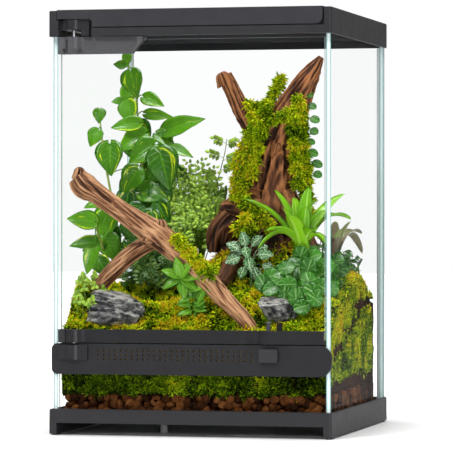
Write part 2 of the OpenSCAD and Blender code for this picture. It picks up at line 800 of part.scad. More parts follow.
module arch_moss() {
    color([0.55, 0.62, 0.12])
        for (k = [0:8])
            blob([-26 + k * 4.6, -98 - k * 0.5, 204 - k * 4.4], 4.6 + 2 * hash(k, 4));
}

module stump_moss() {
    color([0.58, 0.64, 0.12]) {
        for (k = [0:3])
            blob([38 + k * 11, 12 - k, 322 + k * k * 3.6], 8 + 2 * hash(k, 7));
        for (k = [0:5])
            blob([36 - k * 3, 2 - k * 1.4, 310 - k * 15], 9 + 3 * hash(k, 2));
        for (k = [0:4])
            blob([78 - k * 1.4, 14, 344 - k * 22], 7 + 3 * hash(k, 5));
    }
}

module stump_vine() {
    s = spine([[84, 16, 366], [91, 12, 345], [92, 10, 325], [88, 9, 308], [94, 10, 290],
        [96, 10, 274]], 2);
    color([0.25, 0.5, 0.12]) {
        stem(s, 1.2);
        for (k = [0:8]) {
            b = s[k];
            a = k % 2 == 0 ? 10 : 150;
            front_leaf(b + [5 * cos(a), -3, 5 * sin(a)], 12, 11, a - 30, disc, 0.3);
            twig(b, b + [2 * cos(a), -2.6, 2 * sin(a)], 0.7);
        }
    }
}

pothos_runs = [
    spine([[-108, 46, 149], [-116, 62, 250], [-121, 68, 310], [-126, 74, 360], [-131, 79, 414]], 3),
    spine([[-102, 42, 149], [-106, 54, 240], [-110, 60, 300], [-115, 62, 345], [-116, 62, 388]], 3),
    spine([[-96, 38, 148], [-84, 46, 250], [-76, 54, 300], [-72, 58, 328]], 3),
    spine([[-112, 20, 145], [-124, 4, 230], [-133, -6, 290], [-137, -12, 334]], 3),
    spine([[-118, -48, 140], [-120, -56, 190], [-122, -74, 214], [-118, -96, 226]], 3)];

module pothos_stems() {
    color([0.4, 0.5, 0.15])
        for (s = pothos_runs)
            stem(s, 1.7);
}

module pothos_leaves() {
    pts = [for (s = pothos_runs) each s];
    // centre x, y, z, length, width, tip angle
    set = [[-131, 80, 408, 14, 10, -90], [-134, 60, 402, 12, 10, 170],
        [-117, 58, 380, 28, 24, -75], [-129, 74, 368, 20, 18, -120],
        [-137, 60, 361, 11, 9, 180], [-94, 58, 361, 24, 15, -20],
        [-121, 54, 348, 24, 21, -80], [-136, -14, 342, 14, 13, -90],
        [-122, 44, 334, 30, 16, -172], [-88, 58, 345, 30, 12, -6],
        [-60, 56, 334, 46, 22, 20], [-133, -44, 317, 18, 17, -120],
        [-116, 48, 316, 32, 24, -150], [-80, 58, 318, 24, 16, -30],
        [-126, -6, 295, 32, 28, -85], [-99, 28, 302, 32, 26, -145],
        [-71, 20, 284, 42, 32, -70], [-58, 46, 304, 26, 12, -20],
        [-109, 20, 272, 28, 25, -120], [-84, 20, 256, 30, 24, -10],
        [-128, -108, 228, 28, 19, 172], [-127, -60, 246, 24, 14, -165],
        [-120, -44, 222, 28, 26, -100], [-128, -102, 203, 27, 15, -176],
        [-114, -50, 198, 27, 24, -60], [-126, -84, 184, 26, 15, -100]];
    color([0.3, 0.58, 0.12])
        for (q = set) {
            c = [q[0], q[1] - 6, q[2]];
            d = unit([cos(q[5]), -0.25, sin(q[5])]);
            front_leaf(c, q[3], q[4], q[5], heart, 0.25);
            twig(near(pts, c), c - d * (0.3 * q[3]), 0.8);
        }
}

// a frond: an arching rib with paired leaflets
module frond(a, b, rise, l) {
    n = 5;
    function at(u) = a + (b - a) * u + [0, 0, rise * 4 * u * (1 - u)];
    strap(a, b, 3, rise * 0.9);
    twig(a - [0, 0, 3], a + [0.3, 0.2, 4], 1.6);
    twig(at(0.9), at(0.97), 0.6);
    for (k = [2, 4], s = [-1, 1]) {
        c = at(k / n);
        t = unit(at(k / n) - at((k - 1) / n));
        side = unit(cross(t, [0, -1, 0.3]));
        leaf(c, unit(side * s + t * 0.5), [0, -1, 0.5], l * (1.15 - 0.5 * k / n),
            l * 0.75, dart, 0.1, 0.15);
    }
}

module fern_clump() {
    base = [-36, 40, 168];
    color([0.4, 0.66, 0.2])
        for (t = [[-66, 44, 252, 14], [-56, 48, 284, 8], [-38, 46, 292, 4],
            [-16, 40, 262, 10], [-52, 10, 234, 18], [-20, 6, 230, 18]])
            frond(base, [t[0], t[1], t[2]], t[3], 20);
}

module tall_sprig() {
    s = spine([[-38, 52, 164], [-32, 58, 230], [-22, 60, 270], [-14, 60, 300], [-11, 60, 318]], 3);
    color([0.38, 0.62, 0.22]) {
        stem(s, 1.1);
        for (k = [5, 7, 9, 11, 12], w = [-1, 1]) {
            b = s[k];
            e = b + [w * 7, -1, 3];
            twig(b, e, 0.5);
            leaf(e - [0, 0, 0.4], [w, -0.2, 0.3], [0, -1, 0.4], 10, 8, dart, 0.1, 0.1);
        }
    }
}

module clover_clump() {
    color([0.5, 0.72, 0.2])
        for (k = [0:5]) {
            x = -138 + 22 * hash(k, 3);
            y = -112 + 34 * hash(k, 8);
            g = relief(x, y);
            h = g + 8 + 12 * hash(k, 11);
            twig([x, y, g - 10], [x - 1, y - 1, h], 0.6);
            for (a = [90, 210, 330])
                leaf([x - 1, y - 1, h], [cos(a), -0.2, sin(a)], [0, -1, 0.5], 6, 6, dart, 0.1, 0.1);
        }
}

module centre_plant() {
    root = [-9, -102, 120];
    heads = [[-20, -106, 166], [5, -106, 157]];
    color([0.4, 0.66, 0.14]) {
        for (h = heads)
            limb([[root[0], root[1], root[2], 1.6], [h[0] * 0.6 - 2, -104, 145, 1.2],
                [h[0], h[1], h[2], 0.9]], 4, 3, 0);
        for (a = [8, 60, 100, 150, 205, 330])
            leaf(heads[0], [cos(a), -0.3, sin(a)], [0, -1, 0.6], 23, 13, oval, 0.25, 0.2);
        for (a = [-8, 55, 190])
            leaf(heads[1], [cos(a), -0.3, sin(a)], [0, -1, 0.6], 19, 12, oval, 0.25, 0.2);
        for (q = [[-26, 150, 200], [4, 143, -12], [-12, 148, 120], [-6, 144, 40]]) {
            b = [-8, -104, q[1] - 3];
            twig([-8, -103, 132], b, 0.8);
            leaf(b, [cos(q[2]), -0.4, sin(q[2])], [0, -1, 0.6], 16, 8, oval, 0.2, 0.2);
        }
    }
}

module fittonia() {
    root = [46, -58, 150];
    head = [45, -66, 190];
    color([0.42, 0.62, 0.36]) {
        twig(root, head, 1.4);
        for (k = [0:7]) {
            a = k * 45 + 12;
            b = head + [7 * cos(a), -2, 7 * sin(a)];
            twig(head, b, 1);
            leaf(b - [cos(a), 0, sin(a)], [cos(a), -0.3, sin(a)], [0, -1, 0.4], 15, 12, oval, 0.15, 0.2);
        }
        for (q = [[56, -73, 172], [37, -72, 168], [62, -74, 184]]) {
            twig([46, -62, 160], q, 0.9);
            leaf(q, [(q[0] - 46) / 14, -0.3, -0.4], [0, -1, 0.4], 14, 11, oval, 0.15, 0.2);
        }
    }
}

module round_leaf_plant() {
    set = [[93, -104, 177], [88, -108, 166], [98, -112, 160], [80, -112, 156], [117, -100, 177],
        [119, -108, 163], [119, -90, 189], [106, -90, 190], [94, -114, 149], [107, -116, 146],
        [128, -116, 145], [115, -118, 137], [134, -44, 184], [136, -30, 174], [134, -64, 172],
        [135, -70, 155], [132, -60, 160], [128, -86, 170], [108, -100, 168], [130, -100, 158]];
    color([0.33, 0.6, 0.16])
        for (k = [0:len(set) - 1]) {
            q = set[k];
            r = [q[0] * 0.4 + 63, q[1] * 0.5 - 42, relief(q[0] * 0.4 + 63, q[1] * 0.5 - 42) - 5];
            twig(r, q + [0, 1, 0], 0.8);
            front_leaf(q, 16, 15.5, 40 + 280 * hash(k, 6), disc, 0.2);
        }
}

module bromeliad() {
    b = [104, -72, 146];
    color([0.45, 0.68, 0.1]) {
        hull() {
            translate(b)
                cylinder(h = 2, r = 8, $fn = 10);
            translate(b + [0, 0, 50])
                cylinder(h = 2, r = 6, $fn = 10);
        }
        // tip x, y, z, width, rise
        for (t = [[40, -74, 250, 12, 16], [72, -66, 260, 13, 10], [108, -56, 263, 13, 6],
            [138, -10, 256, 13, 14], [141, 6, 228, 12, 26], [60, -92, 196, 12, 26],
            [72, -100, 216, 12, 16], [98, -112, 232, 14, 10], [124, -96, 216, 12, 14],
            [124, -50, 238, 12, 12], [86, -84, 240, 12, 6], [134, -76, 196, 12, 22],
            [112, -88, 242, 12, 8]])
            strap(b + [0, 0, 46], [t[0], t[1], t[2]], t[3], t[4]);
        for (k = [0:7])
            twig(b + [0, 0, 44], b + [5 * cos(k * 45), 5 * sin(k * 45), 58], 1.4);
    }
}

module red_bromeliad() {
    b = [118, 18, 158];
    color([0.42, 0.4, 0.2]) {
        for (k = [0:7])
            twig(b, b + [5 * cos(k * 45 + 4), 5 * sin(k * 45 + 4), 20], 2.6);
        for (t = [[136, 30, 226, 9, 10], [138, 84, 190, 10, 36], [141, 66, 212, 10, 24],
            [100, 6, 212, 10, 10], [116, 44, 226, 10, 8], [128, -14, 208, 9, 12],
            [96, 40, 198, 9, 14]])
            strap(b + [0, 0, 18], [t[0], t[1], t[2]], t[3], t[4]);
    }
}

module side_sprig() {
    s = spine([[128, 34, 140], [132, 48, 160], [137, 66, 176], [139, 76, 184]], 2);
    color([0.3, 0.55, 0.15]) {
        stem(s, 1.3);
        for (k = [2:len(s) - 1], w = [-1, 1]) {
            b = s[k];
            leaf(b, [-0.3 * w - 0.3, w, 0.35], [0.6, -0.4, 0.8], 17, 8, oval, 0.2, 0.25);
            twig(b, b + [0, w * 2, 0.5], 0.7);
        }
    }
}

base_frame();
foot_pads();
support_pad();
bottom_glass();
back_glass();
left_glass();
right_glass();
front_lower_glass();
silicone_seams();
top_frame();
upper_hinge_block();
upper_hinge_pin();
vent_panel();
vent_screen();
lower_hinge_block();
lower_hinge_pin();
latch_keeper();
lid_hinge_pins();
lid_frame();
lid_screen();
door_glass();
door_rail();
door_top_bracket();
latch_buffer();
latch_pin();
drainage_layer();
soil_bed();
moss_carpet();
moss_front();
landscape() moss_tufts();
landscape() driftwood_arch();
landscape() driftwood_stump();
landscape() rock_left();
landscape() rock_right();
landscape() arch_moss();
landscape() stump_moss();
landscape() stump_vine();
landscape() pothos_stems();
landscape() pothos_leaves();
landscape() fern_clump();
landscape() tall_sprig();
landscape() clover_clump();
landscape() centre_plant();
landscape() fittonia();
landscape() round_leaf_plant();
landscape() bromeliad();
landscape() red_bromeliad();
landscape() side_sprig();
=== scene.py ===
"""Planted glass terrarium: finishes, glass, moss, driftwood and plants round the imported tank.

Metres, +X to the right, +Y from the door to the back pane, +Z up, floor at Z = 0.
"""

import json
import logging
import math
from dataclasses import dataclass, field
from enum import Enum
from typing import Sequence

import bpy
import numpy as np
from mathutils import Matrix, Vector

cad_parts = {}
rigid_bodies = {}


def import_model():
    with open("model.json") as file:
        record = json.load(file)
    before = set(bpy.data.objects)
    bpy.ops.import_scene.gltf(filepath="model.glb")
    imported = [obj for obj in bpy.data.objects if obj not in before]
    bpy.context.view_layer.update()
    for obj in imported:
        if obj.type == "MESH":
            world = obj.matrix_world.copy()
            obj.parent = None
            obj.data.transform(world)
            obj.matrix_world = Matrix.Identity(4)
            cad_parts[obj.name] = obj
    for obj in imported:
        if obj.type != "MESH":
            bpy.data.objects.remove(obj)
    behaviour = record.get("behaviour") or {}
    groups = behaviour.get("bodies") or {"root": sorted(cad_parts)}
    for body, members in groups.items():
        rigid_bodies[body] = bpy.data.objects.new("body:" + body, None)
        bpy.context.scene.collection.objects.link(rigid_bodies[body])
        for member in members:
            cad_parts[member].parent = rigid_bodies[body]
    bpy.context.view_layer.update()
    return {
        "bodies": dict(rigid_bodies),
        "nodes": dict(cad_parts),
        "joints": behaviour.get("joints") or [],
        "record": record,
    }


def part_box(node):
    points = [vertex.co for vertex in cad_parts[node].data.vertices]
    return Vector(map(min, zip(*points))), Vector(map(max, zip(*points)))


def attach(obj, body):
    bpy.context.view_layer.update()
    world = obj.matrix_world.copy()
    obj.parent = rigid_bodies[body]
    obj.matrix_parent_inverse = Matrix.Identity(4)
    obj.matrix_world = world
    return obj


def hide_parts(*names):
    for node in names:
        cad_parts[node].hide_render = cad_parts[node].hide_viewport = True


LOG = logging.getLogger("terrarium")
MM = 0.001
Array = np.ndarray
Colour = tuple[float, float, float]
Rows = tuple[tuple, ...]
UP = np.array([0.0, 0.0, 1.0])
FRONT = np.array([0.0, -1.0, 0.0])
HALF_DEPTH = 153.0
HINGE_AT = np.array([-128.5, -142.5]) * MM
HEEL_R = 19.0 * MM
RAIL_LOW = 98.0 * MM


# Small mathematics


def mm(values: Sequence) -> Array:
    """Turn millimetres into metres.

    Args:
        values: One point or a nested list of points in millimetres.

    Returns:
        The same numbers in metres.
    """
    return np.array(values, float) * MM


def unit(v: Array) -> Array:
    """Return vectors of length one along the last axis."""
    return v / np.maximum(np.linalg.norm(v, axis=-1, keepdims=True), 1e-9)


def smooth(t: Array) -> Array:
    """Return the smooth step of t, held between 0 and 1."""
    u = np.clip(t, 0, 1)
    return u * u * (3 - 2 * u)


def lattice(i: Array, seed: int) -> Array:
    """Return a repeatable number from 0 to 1 for each whole-number cell.

    Args:
        i: Cell indices, three along the last axis.
        seed: Picks one pattern.

    Returns:
        One number for each cell.
    """
    h = i[..., 0] * 374761393 + i[..., 1] * 668265263 + i[..., 2] * 1442695041 + seed * 974711
    h = (h ^ (h >> 13)) * 1274126177 & 0xFFFFFFFF
    h = (h ^ (h >> 16)) * 2246822519 & 0xFFFFFFFF
    return ((h >> 8) & 0xFFFF) / 65535.0


def noise(p: Array, seed: int = 0) -> Array:
    """Return smooth noise from -1 to 1.

    Args:
        p: Points, three numbers along the last axis, in cells.
        seed: Picks one pattern.

    Returns:
        One value for each point.
    """
    cell = np.floor(p).astype(np.int64)
    f = smooth(p - cell)
    total = np.zeros(p.shape[:-1])
    for corner in range(8):
        step = np.array([corner & 1, corner >> 1 & 1, corner >> 2 & 1])
        weight = np.prod(np.where(step == 1, f, 1 - f), axis=-1)
        total += weight * lattice(cell + step, seed)
    return total * 2 - 1


def layered(p: Array, octaves: int = 3, seed: int = 0) -> Array:
    """Return noise summed over octaves, each half as strong and twice as fine."""
    total = np.zeros(p.shape[:-1])
    for k in range(octaves):
        total += noise(p * 2.0**k, seed + k) * 0.5**k
    return total


def curve(points: Array, steps: int) -> Array:
    """Run a smooth curve through control points.

    Args:
        points: Control points, with any number of columns.
        steps: Steps between two control points.

    Returns:
        The curve's points, ends included.
    """
    p = np.vstack([points[:1], points, points[-1:]])
    t = (np.arange(steps) / steps)[:, None]
    runs = []
    for k in range(len(points) - 1):
        a, b, c, d = p[k : k + 4]
        runs.append(
            0.5 * (2 * b + (c - a) * t + (2 * a - 5 * b + 4 * c - d) * t**2 + (3 * b - a - 3 * c + d) * t**3)
        )
    return np.vstack(runs + [points[-1:]])


def frames(path: Array, hint: Array) -> tuple[Array, Array, Array]:
    """Return tangent, side and up vectors along a path.

    Args:
        path: Points in order.
        hint: A direction that the up vectors stay near.

    Returns:
        Three arrays of unit vectors, one row for each point.
    """
    tangent = unit(np.gradient(path, axis=0))
    side = unit(np.cross(tangent, hint))
    return tangent, side, np.cross(side, tangent)


def ground(x: Array, y: Array) -> Array:
    """Return the height of the moss surface.

    Args:
        x: Places across the tank, in metres.
        y: Places from the door to the back, in metres.

    Returns:
        Heights above the floor, in metres.
    """
    u, v = np.asarray(x) / MM, np.asarray(y) / MM
    height = (
        103
        + 30 * smooth((v + HALF_DEPTH - 20) / 60)
        + 16 * smooth((v + HALF_DEPTH - 80) / 80)
        - 12 * smooth((v - 60) / 50)
        + 62 * np.exp(-(((u - 45) / 78) ** 2) - ((v - 22) / 72) ** 2)
        + 22 * np.exp(-(((u + 140) / 34) ** 2) - ((v + 82) / 40) ** 2)
        + 10 * np.exp(-(((u - 96) / 44) ** 2) - ((v + 92) / 30) ** 2)
        + 3 * np.sin(np.radians(u * 6.1)) * np.cos(np.radians(v * 7.3))
    )
    return height * MM


def pressed(x: Array, y: Array, z: Array) -> Array:
    """Return heights, kept below the door's rail in the corner that its heel swings through.

    Args:
        x: Places across the tank.
        y: Places from the door to the back.
        z: Heights at those places.

    Returns:
        The heights, lowered where they have to be.
    """
    reach = np.hypot(x - HINGE_AT[0], y - HINGE_AT[1])
    return np.where(reach < HEEL_R + 2 * MM, np.minimum(z, RAIL_LOW - 2 * MM), z)


def swung_clear(points: Array) -> Array:
    """Return points with those in the way of the door's heel pushed out round the hinge."""
    points = points.copy()
    away = points[..., :2] - HINGE_AT
    reach = np.linalg.norm(away, axis=-1, keepdims=True)
    inside = (reach < HEEL_R) & (points[..., 2:] > RAIL_LOW - 10 * MM)
    points[..., :2] = HINGE_AT + away * np.where(inside, HEEL_R / np.maximum(reach, 1e-6), 1)
    return points


# Meshes


def bands(rings: int, around: int) -> Array:
    """Return the quads between rings of the same number of points.

    Args:
        rings: How many rings there are.
        around: How many points each has.

    Returns:
        One row of four vertex indices for each quad.
    """
    j, i = np.meshgrid(np.arange(rings - 1), np.arange(around), indexing="ij")
    a, b = (j * around + i).ravel(), (j * around + (i + 1) % around).ravel()
    return np.stack([a, b, b + around, a + around], 1)


def wheel(side: Array, up: Array, angle: Array) -> Array:
    """Return unit spokes round a path, from its side and up vectors and the spokes' angles."""
    return side[:, None] * np.cos(angle)[None, :, None] + up[:, None] * np.sin(angle)[None, :, None]


class Skin:
    """A mesh that is collected from rings, grids and blades, with a leaf map and a tone."""

    def __init__(self) -> None:
        """Start with nothing in it."""
        self.points: list[Array] = []
        self.faces: list[Array] = []
        self.maps: list[Array] = []
        self.tones: list[Array] = []
        self.count = 0

    def add(self, points: Array, faces: Sequence[Array], maps: Array, tones: Array | float) -> None:
        """Add vertices and the faces among them.

        Args:
            points: Vertices, one row each.
            faces: Arrays of vertex indices, one row for each face.
            maps: Two map coordinates for each vertex.
            tones: One tone for each vertex, or one for all.
        """
        for rows in faces:
            if len(rows):
                self.faces.append(np.asarray(rows) + self.count)
        self.points.append(points)
        self.maps.append(maps)
        self.tones.append(np.broadcast_to(tones, (len(points),)))
        self.count += len(points)

    def rings(self, rings: Array, tones: Array | float = 0.5) -> None:
        """Add a closed skin over rings of equal size.

        Args:
            rings: Shape (rings, points in a ring, 3).
            tones: One tone for all, or one for each ring point.
        """
        m, n = rings.shape[:2]
        faces = [bands(m, n), np.arange(n)[::-1][None], (np.arange(n) + (m - 1) * n)[None]]
        walk = np.concatenate([[0], np.cumsum(np.linalg.norm(np.diff(rings.mean(1), axis=0), axis=1))])
        turn = np.arange(n) / n
        maps = np.stack(np.broadcast_arrays(turn[None, :], walk[:, None] * 10), -1).reshape(-1, 2)
        tone = tones if np.isscalar(tones) else np.asarray(tones).ravel()
        self.add(rings.reshape(-1, 3), faces, maps, tone)

    def tube(self, path: Array, radius: Array | float, sides: int = 6, tone: float = 0.5) -> None:
        """Add a round stem along a path.

        Args:
            path: Points in order.
            radius: One radius, or one for each point.
            sides: Sides round the stem.
            tone: Tone of the stem.
        """
        tangent, side, up = frames(path, UP if abs(unit(path[-1] - path[0])[2]) < 0.8 else FRONT)
        angle = np.arange(sides) * 2 * math.pi / sides
        r = np.broadcast_to(radius, (len(path),))[:, None, None]
        self.rings(path[:, None] + wheel(side, up, angle) * r, tone)

    def grid(self, points: Array, tones: Array | float = 0.5, flip: bool = False) -> None:
        """Add a sheet of quads over a grid of points.

        Args:
            points: Shape (rows, columns, 3).
            tones: One tone for all, or one for each point.
            flip: Whether the faces turn over.
        """
        m, n = points.shape[:2]
        j, i = np.meshgrid(np.arange(m - 1), np.arange(n - 1), indexing="ij")
        a = (j * n + i).ravel()
        quads = np.stack([a, a + 1, a + n + 1, a + n], 1)
        v, u = np.meshgrid(np.linspace(0, 1, m), np.linspace(0, 1, n), indexing="ij")
        tone = tones if np.isscalar(tones) else np.asarray(tones).ravel()
        maps = np.stack([u, v], -1).reshape(-1, 2)
        self.add(points.reshape(-1, 3), [quads[:, ::-1] if flip else quads], maps, tone)

    def build(self, name: str, material: bpy.types.Material) -> bpy.types.Object:
        """Make the object.

        Args:
            name: The piece's name.
            material: Its finish.

        Returns:
            The new object, in the scene, with smooth shading.
        """
        points = np.vstack(self.points)
        mesh = bpy.data.meshes.new(name)
        rows = [row for block in self.faces for row in block.tolist()]
        mesh.from_pydata(points.tolist(), [], rows)
        corner = np.zeros(len(mesh.loops), np.int32)
        mesh.loops.foreach_get("vertex_index", corner)
        mesh.uv_layers.new(name="blade").uv.foreach_set("vector", np.vstack(self.maps)[corner].ravel())
        mesh.attributes.new("tone", "FLOAT", "POINT").data.foreach_set("value", np.concatenate(self.tones))
        mesh.polygons.foreach_set("use_smooth", [True] * len(mesh.polygons))
        mesh.materials.append(material)
        piece = bpy.data.objects.new(name, mesh)
        bpy.context.scene.collection.objects.link(piece)
        return piece


def place(piece: bpy.types.Object, body: str, slot: str, *nodes: str) -> None:
    """Tie a piece to its body, hide the solids it stands for, and log it."""
    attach(piece, body)
    if nodes:
        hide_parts(*nodes)
    LOG.info("%s: %d faces on %s, for %s", piece.name, len(piece.data.polygons), body, ", ".join(nodes))


class LeafForm(Enum):
    """Outlines of a leaf, from its base to its tip."""

    HEART = "heart"
    OVAL = "oval"
    DISC = "disc"
    STRAP = "strap"

    def half(self, s: Array) -> Array:
        """Return the half width at share s of the length, as a share of the width."""
        s = np.clip(s, 0, 1)
        if self is LeafForm.HEART:
            return 0.5 * np.sin(math.pi * s**0.6) ** 0.8 * (1 - 0.25 * s**2)
        if self is LeafForm.OVAL:
            return 0.5 * np.sin(math.pi * s**0.85) ** 0.85
        if self is LeafForm.DISC:
            return np.sqrt(s * (1 - s))
        return 0.5 * (0.78 + 0.22 * np.sin(math.pi * s)) * np.sqrt(np.clip(1 - s**3.5, 0, 1))

    def lobe(self, s: Array) -> Array:
        """Return how far the edge lies behind the midrib at share s, as a share of the length."""
        back = {LeafForm.HEART: 0.2, LeafForm.DISC: 0.05}.get(self, 0.0)
        return back * (1 - s) ** 3


class Foliage:
    """Leaves of one form that are grown together into a skin."""

    def __init__(self, skin: Skin, form: LeafForm, rings: int, across: int, thick: float = 0.0004) -> None:
        """Choose the form and how finely each leaf is divided.

        Args:
            skin: The mesh that the leaves go into.
            form: Their outline.
            rings: Rings along a leaf.
            across: Points across the top of a leaf, an odd number.
            thick: Thickness at the midrib, in metres.
        """
        self.skin, self.form, self.thick = skin, form, thick
        self.share = (1 - np.cos(np.linspace(0.02, 0.985, rings) * math.pi)) / 2
        top = np.linspace(-1, 1, across)
        self.across = np.concatenate([top, top[-2:0:-1]])
        self.under = np.concatenate([np.zeros(across), np.ones(across - 2)])
        self.rows: list[tuple] = []

    def leaf(
        self,
        base: Array,
        along: Array,
        face: Array,
        length: float,
        width: float,
        fold: float = 0.25,
        droop: float = 0.2,
        wave: float = 0.0,
        tone: float = 0.5,
    ) -> None:
        """Add one leaf.

        Args:
            base: Where the blade starts.
            along: Direction towards the tip.
            face: Direction that the upper side looks in.
            length: Length of the blade.
            width: Width of the blade.
            fold: Rise of the edges over the midrib, as a share of the half width.
            droop: Fall of the tip, as a share of the length.
            wave: Height of the ripples along the edge, as a share of the width.
            tone: Tone of this leaf, from 0 to 1.
        """
        self.rows.append((*base, *along, *face, length, width, fold, droop, wave, tone))

    def grow(self) -> None:
        """Turn the collected leaves into mesh."""
        if not self.rows:
            return
        table = np.array(self.rows)
        base, x = table[:, 0:3], unit(table[:, 3:6])
        y = unit(np.cross(table[:, 6:9], x))
        z = np.cross(x, y)
        length, width, fold, droop, wave, tone = (table[:, k, None, None] for k in range(9, 15))
        s, v = self.share[None, :, None], self.across[None, None, :]
        half = self.form.half(s)
        along = s - self.form.lobe(s) * np.abs(v) ** 1.5
        ripple = np.sin(s * 17 + tone * 40 + v) * np.abs(v) ** 2
        rise = fold * np.abs(v) ** 1.3 * half * width - droop * length * s**2
        rise = rise + wave * width * ripple * (half * 2) - self.under[None, None] * self.thick * (1 - 0.6 * s)
        points = (
            base[:, None, None]
            + x[:, None, None] * (along * length)[..., None]
            + y[:, None, None] * (v * half * width)[..., None]
            + z[:, None, None] * rise[..., None]
        )
        leaves, rings, n = points.shape[:3]
        caps = np.stack([np.arange(n)[::-1], np.arange(n) + (rings - 1) * n])
        offset = (np.arange(leaves) * rings * n)[:, None, None]
        maps = np.stack(np.broadcast_arrays(s + 0 * v + 0 * length, v * 0.5 + 0.5 + 0 * s + 0 * length), -1)
        self.skin.add(
            points.reshape(-1, 3),
            [(bands(rings, n)[None] + offset).reshape(-1, 4), (caps[None] + offset).reshape(-1, n)],
            maps.reshape(-1, 2),
            np.broadcast_to(tone, (leaves, rings, n)).ravel(),
        )
        self.rows.clear()


# Finishes


class Recipe:
    """The nodes of one procedural material, or of the world."""

    def __init__(self, name: str, sky: bool = False) -> None:
        """Start an empty material of that name, or an empty world."""
        self.owner = bpy.data.worlds.new(name) if sky else bpy.data.materials.new(name)
        self.owner.use_nodes = True
        self.tree = self.owner.node_tree
        self.tree.nodes.clear()

    def add(self, kind: str, sockets: dict | None = None, **settings: object) -> bpy.types.Node:
        """Add a node.

        Args:
            kind: The node's type.
            sockets: Input names or numbers, with a value or an output socket for each.
            **settings: The node's own settings.

        Returns:
            The new node.
        """
        node = self.tree.nodes.new(kind)
        for key, value in settings.items():
            setattr(node, key, value)
        for key, value in (sockets or {}).items():
            self.feed(node.inputs[key], value)
        return node

    def feed(self, socket: bpy.types.NodeSocket, value: object) -> None:
        """Link a socket to an output, or set its value."""
        if isinstance(value, bpy.types.NodeSocket):
            self.tree.links.new(value, socket)
        else:
            socket.default_value = value

    def place(self) -> bpy.types.NodeSocket:
        """Return the point's place in the row frame."""
        return self.add("ShaderNodeTexCoord").outputs["Object"]

    def blade(self) -> tuple[bpy.types.NodeSocket, bpy.types.NodeSocket]:
        """Return the share along a leaf and the share across it."""
        split = self.add("ShaderNodeSeparateXYZ", {0: self.add("ShaderNodeUVMap", uv_map="blade").outputs[0]})
        return split.outputs[0], split.outputs[1]

    def tone(self) -> bpy.types.NodeSocket:
        """Return the tone that each leaf, sprig or pebble was given."""
        return self.add("ShaderNodeAttribute", attribute_name="tone").outputs["Fac"]

    def noise(
        self, scale: float, detail: float = 3, vector: object = None, rough: float = 0.55
    ) -> bpy.types.NodeSocket:
        """Return cloudy noise from 0 to 1, with scale in cells to the metre."""
        sockets = {"Vector": vector or self.place(), "Scale": scale, "Detail": detail, "Roughness": rough}
        return self.add("ShaderNodeTexNoise", sockets).outputs["Fac"]

    def stretch(self, vector: object, scale: Sequence[float]) -> bpy.types.NodeSocket:
        """Return a vector scaled by three numbers."""
        return self.add("ShaderNodeMapping", {"Vector": vector, "Scale": tuple(scale)}).outputs[0]

    def maths(self, operation: str, a: object, b: object = 0.0, clamp: bool = False) -> bpy.types.NodeSocket:
        """Return the result of one operation on two values."""
        return self.add("ShaderNodeMath", {0: a, 1: b}, operation=operation, use_clamp=clamp).outputs[0]

    def step(
        self, value: object, low: float, high: float, start: float = 0.0, end: float = 1.0
    ) -> bpy.types.NodeSocket:
        """Return value spread smoothly from start at low to end at high."""
        sockets = {"Value": value, "From Min": low, "From Max": high, "To Min": start, "To Max": end}
        return self.add("ShaderNodeMapRange", sockets, interpolation_type="SMOOTHSTEP").outputs[0]

    def times(self, a: object, b: object) -> bpy.types.NodeSocket:
        """Return a times b."""
        return self.maths("MULTIPLY", a, b)

    def plus(self, a: object, b: object, clamp: bool = False) -> bpy.types.NodeSocket:
        """Return a plus b, held from 0 to 1 if clamp."""
        return self.maths("ADD", a, b, clamp)

    def less(self, a: object, b: object, clamp: bool = False) -> bpy.types.NodeSocket:
        """Return a less b, held from 0 to 1 if clamp."""
        return self.maths("SUBTRACT", a, b, clamp)

    def split(self, vector: object, axis: int) -> bpy.types.NodeSocket:
        """Return one number of a vector."""
        return self.add("ShaderNodeSeparateXYZ", {0: vector}).outputs[axis]

    def blend(self, share: object, a: object, b: object) -> bpy.types.NodeSocket:
        """Return a mix of two numbers."""
        return self.add("ShaderNodeMix", {0: share, 2: a, 3: b}, data_type="FLOAT").outputs[0]

    def ramp(self, value: object, stops: Sequence[tuple[float, Colour]]) -> bpy.types.NodeSocket:
        """Return a colour that runs through stops of (place, colour)."""
        node = self.add("ShaderNodeValToRGB", {0: value})
        while len(node.color_ramp.elements) < len(stops):
            node.color_ramp.elements.new(0.5)
        for element, (at, colour) in zip(node.color_ramp.elements, stops):
            element.position = at
            element.color = (*colour, 1)
        return node.outputs[0]

    def mix(self, share: object, a: object, b: object) -> bpy.types.NodeSocket:
        """Return a mix of two colours."""
        node = self.add("ShaderNodeMix", data_type="RGBA", blend_type="MIX")
        self.feed(node.inputs[0], share)
        for key, value in ((6, a), (7, b)):
            self.feed(node.inputs[key], (*value, 1) if isinstance(value, tuple) else value)
        return node.outputs[2]

    def bump(self, height: object, distance: float) -> bpy.types.NodeSocket:
        """Return a normal that is tilted by height times distance, in metres."""
        return self.add("ShaderNodeBump", {"Height": height, "Distance": distance}).outputs[0]

    def principled(self, sockets: dict) -> bpy.types.NodeSocket:
        """Return a Principled shader with these inputs."""
        return self.add("ShaderNodeBsdfPrincipled", sockets).outputs[0]

    def finish(self, shader: bpy.types.NodeSocket) -> bpy.types.Material:
        """Send the shader to the output and return the material."""
        self.add("ShaderNodeOutputMaterial", {"Surface": shader})
        return self.owner


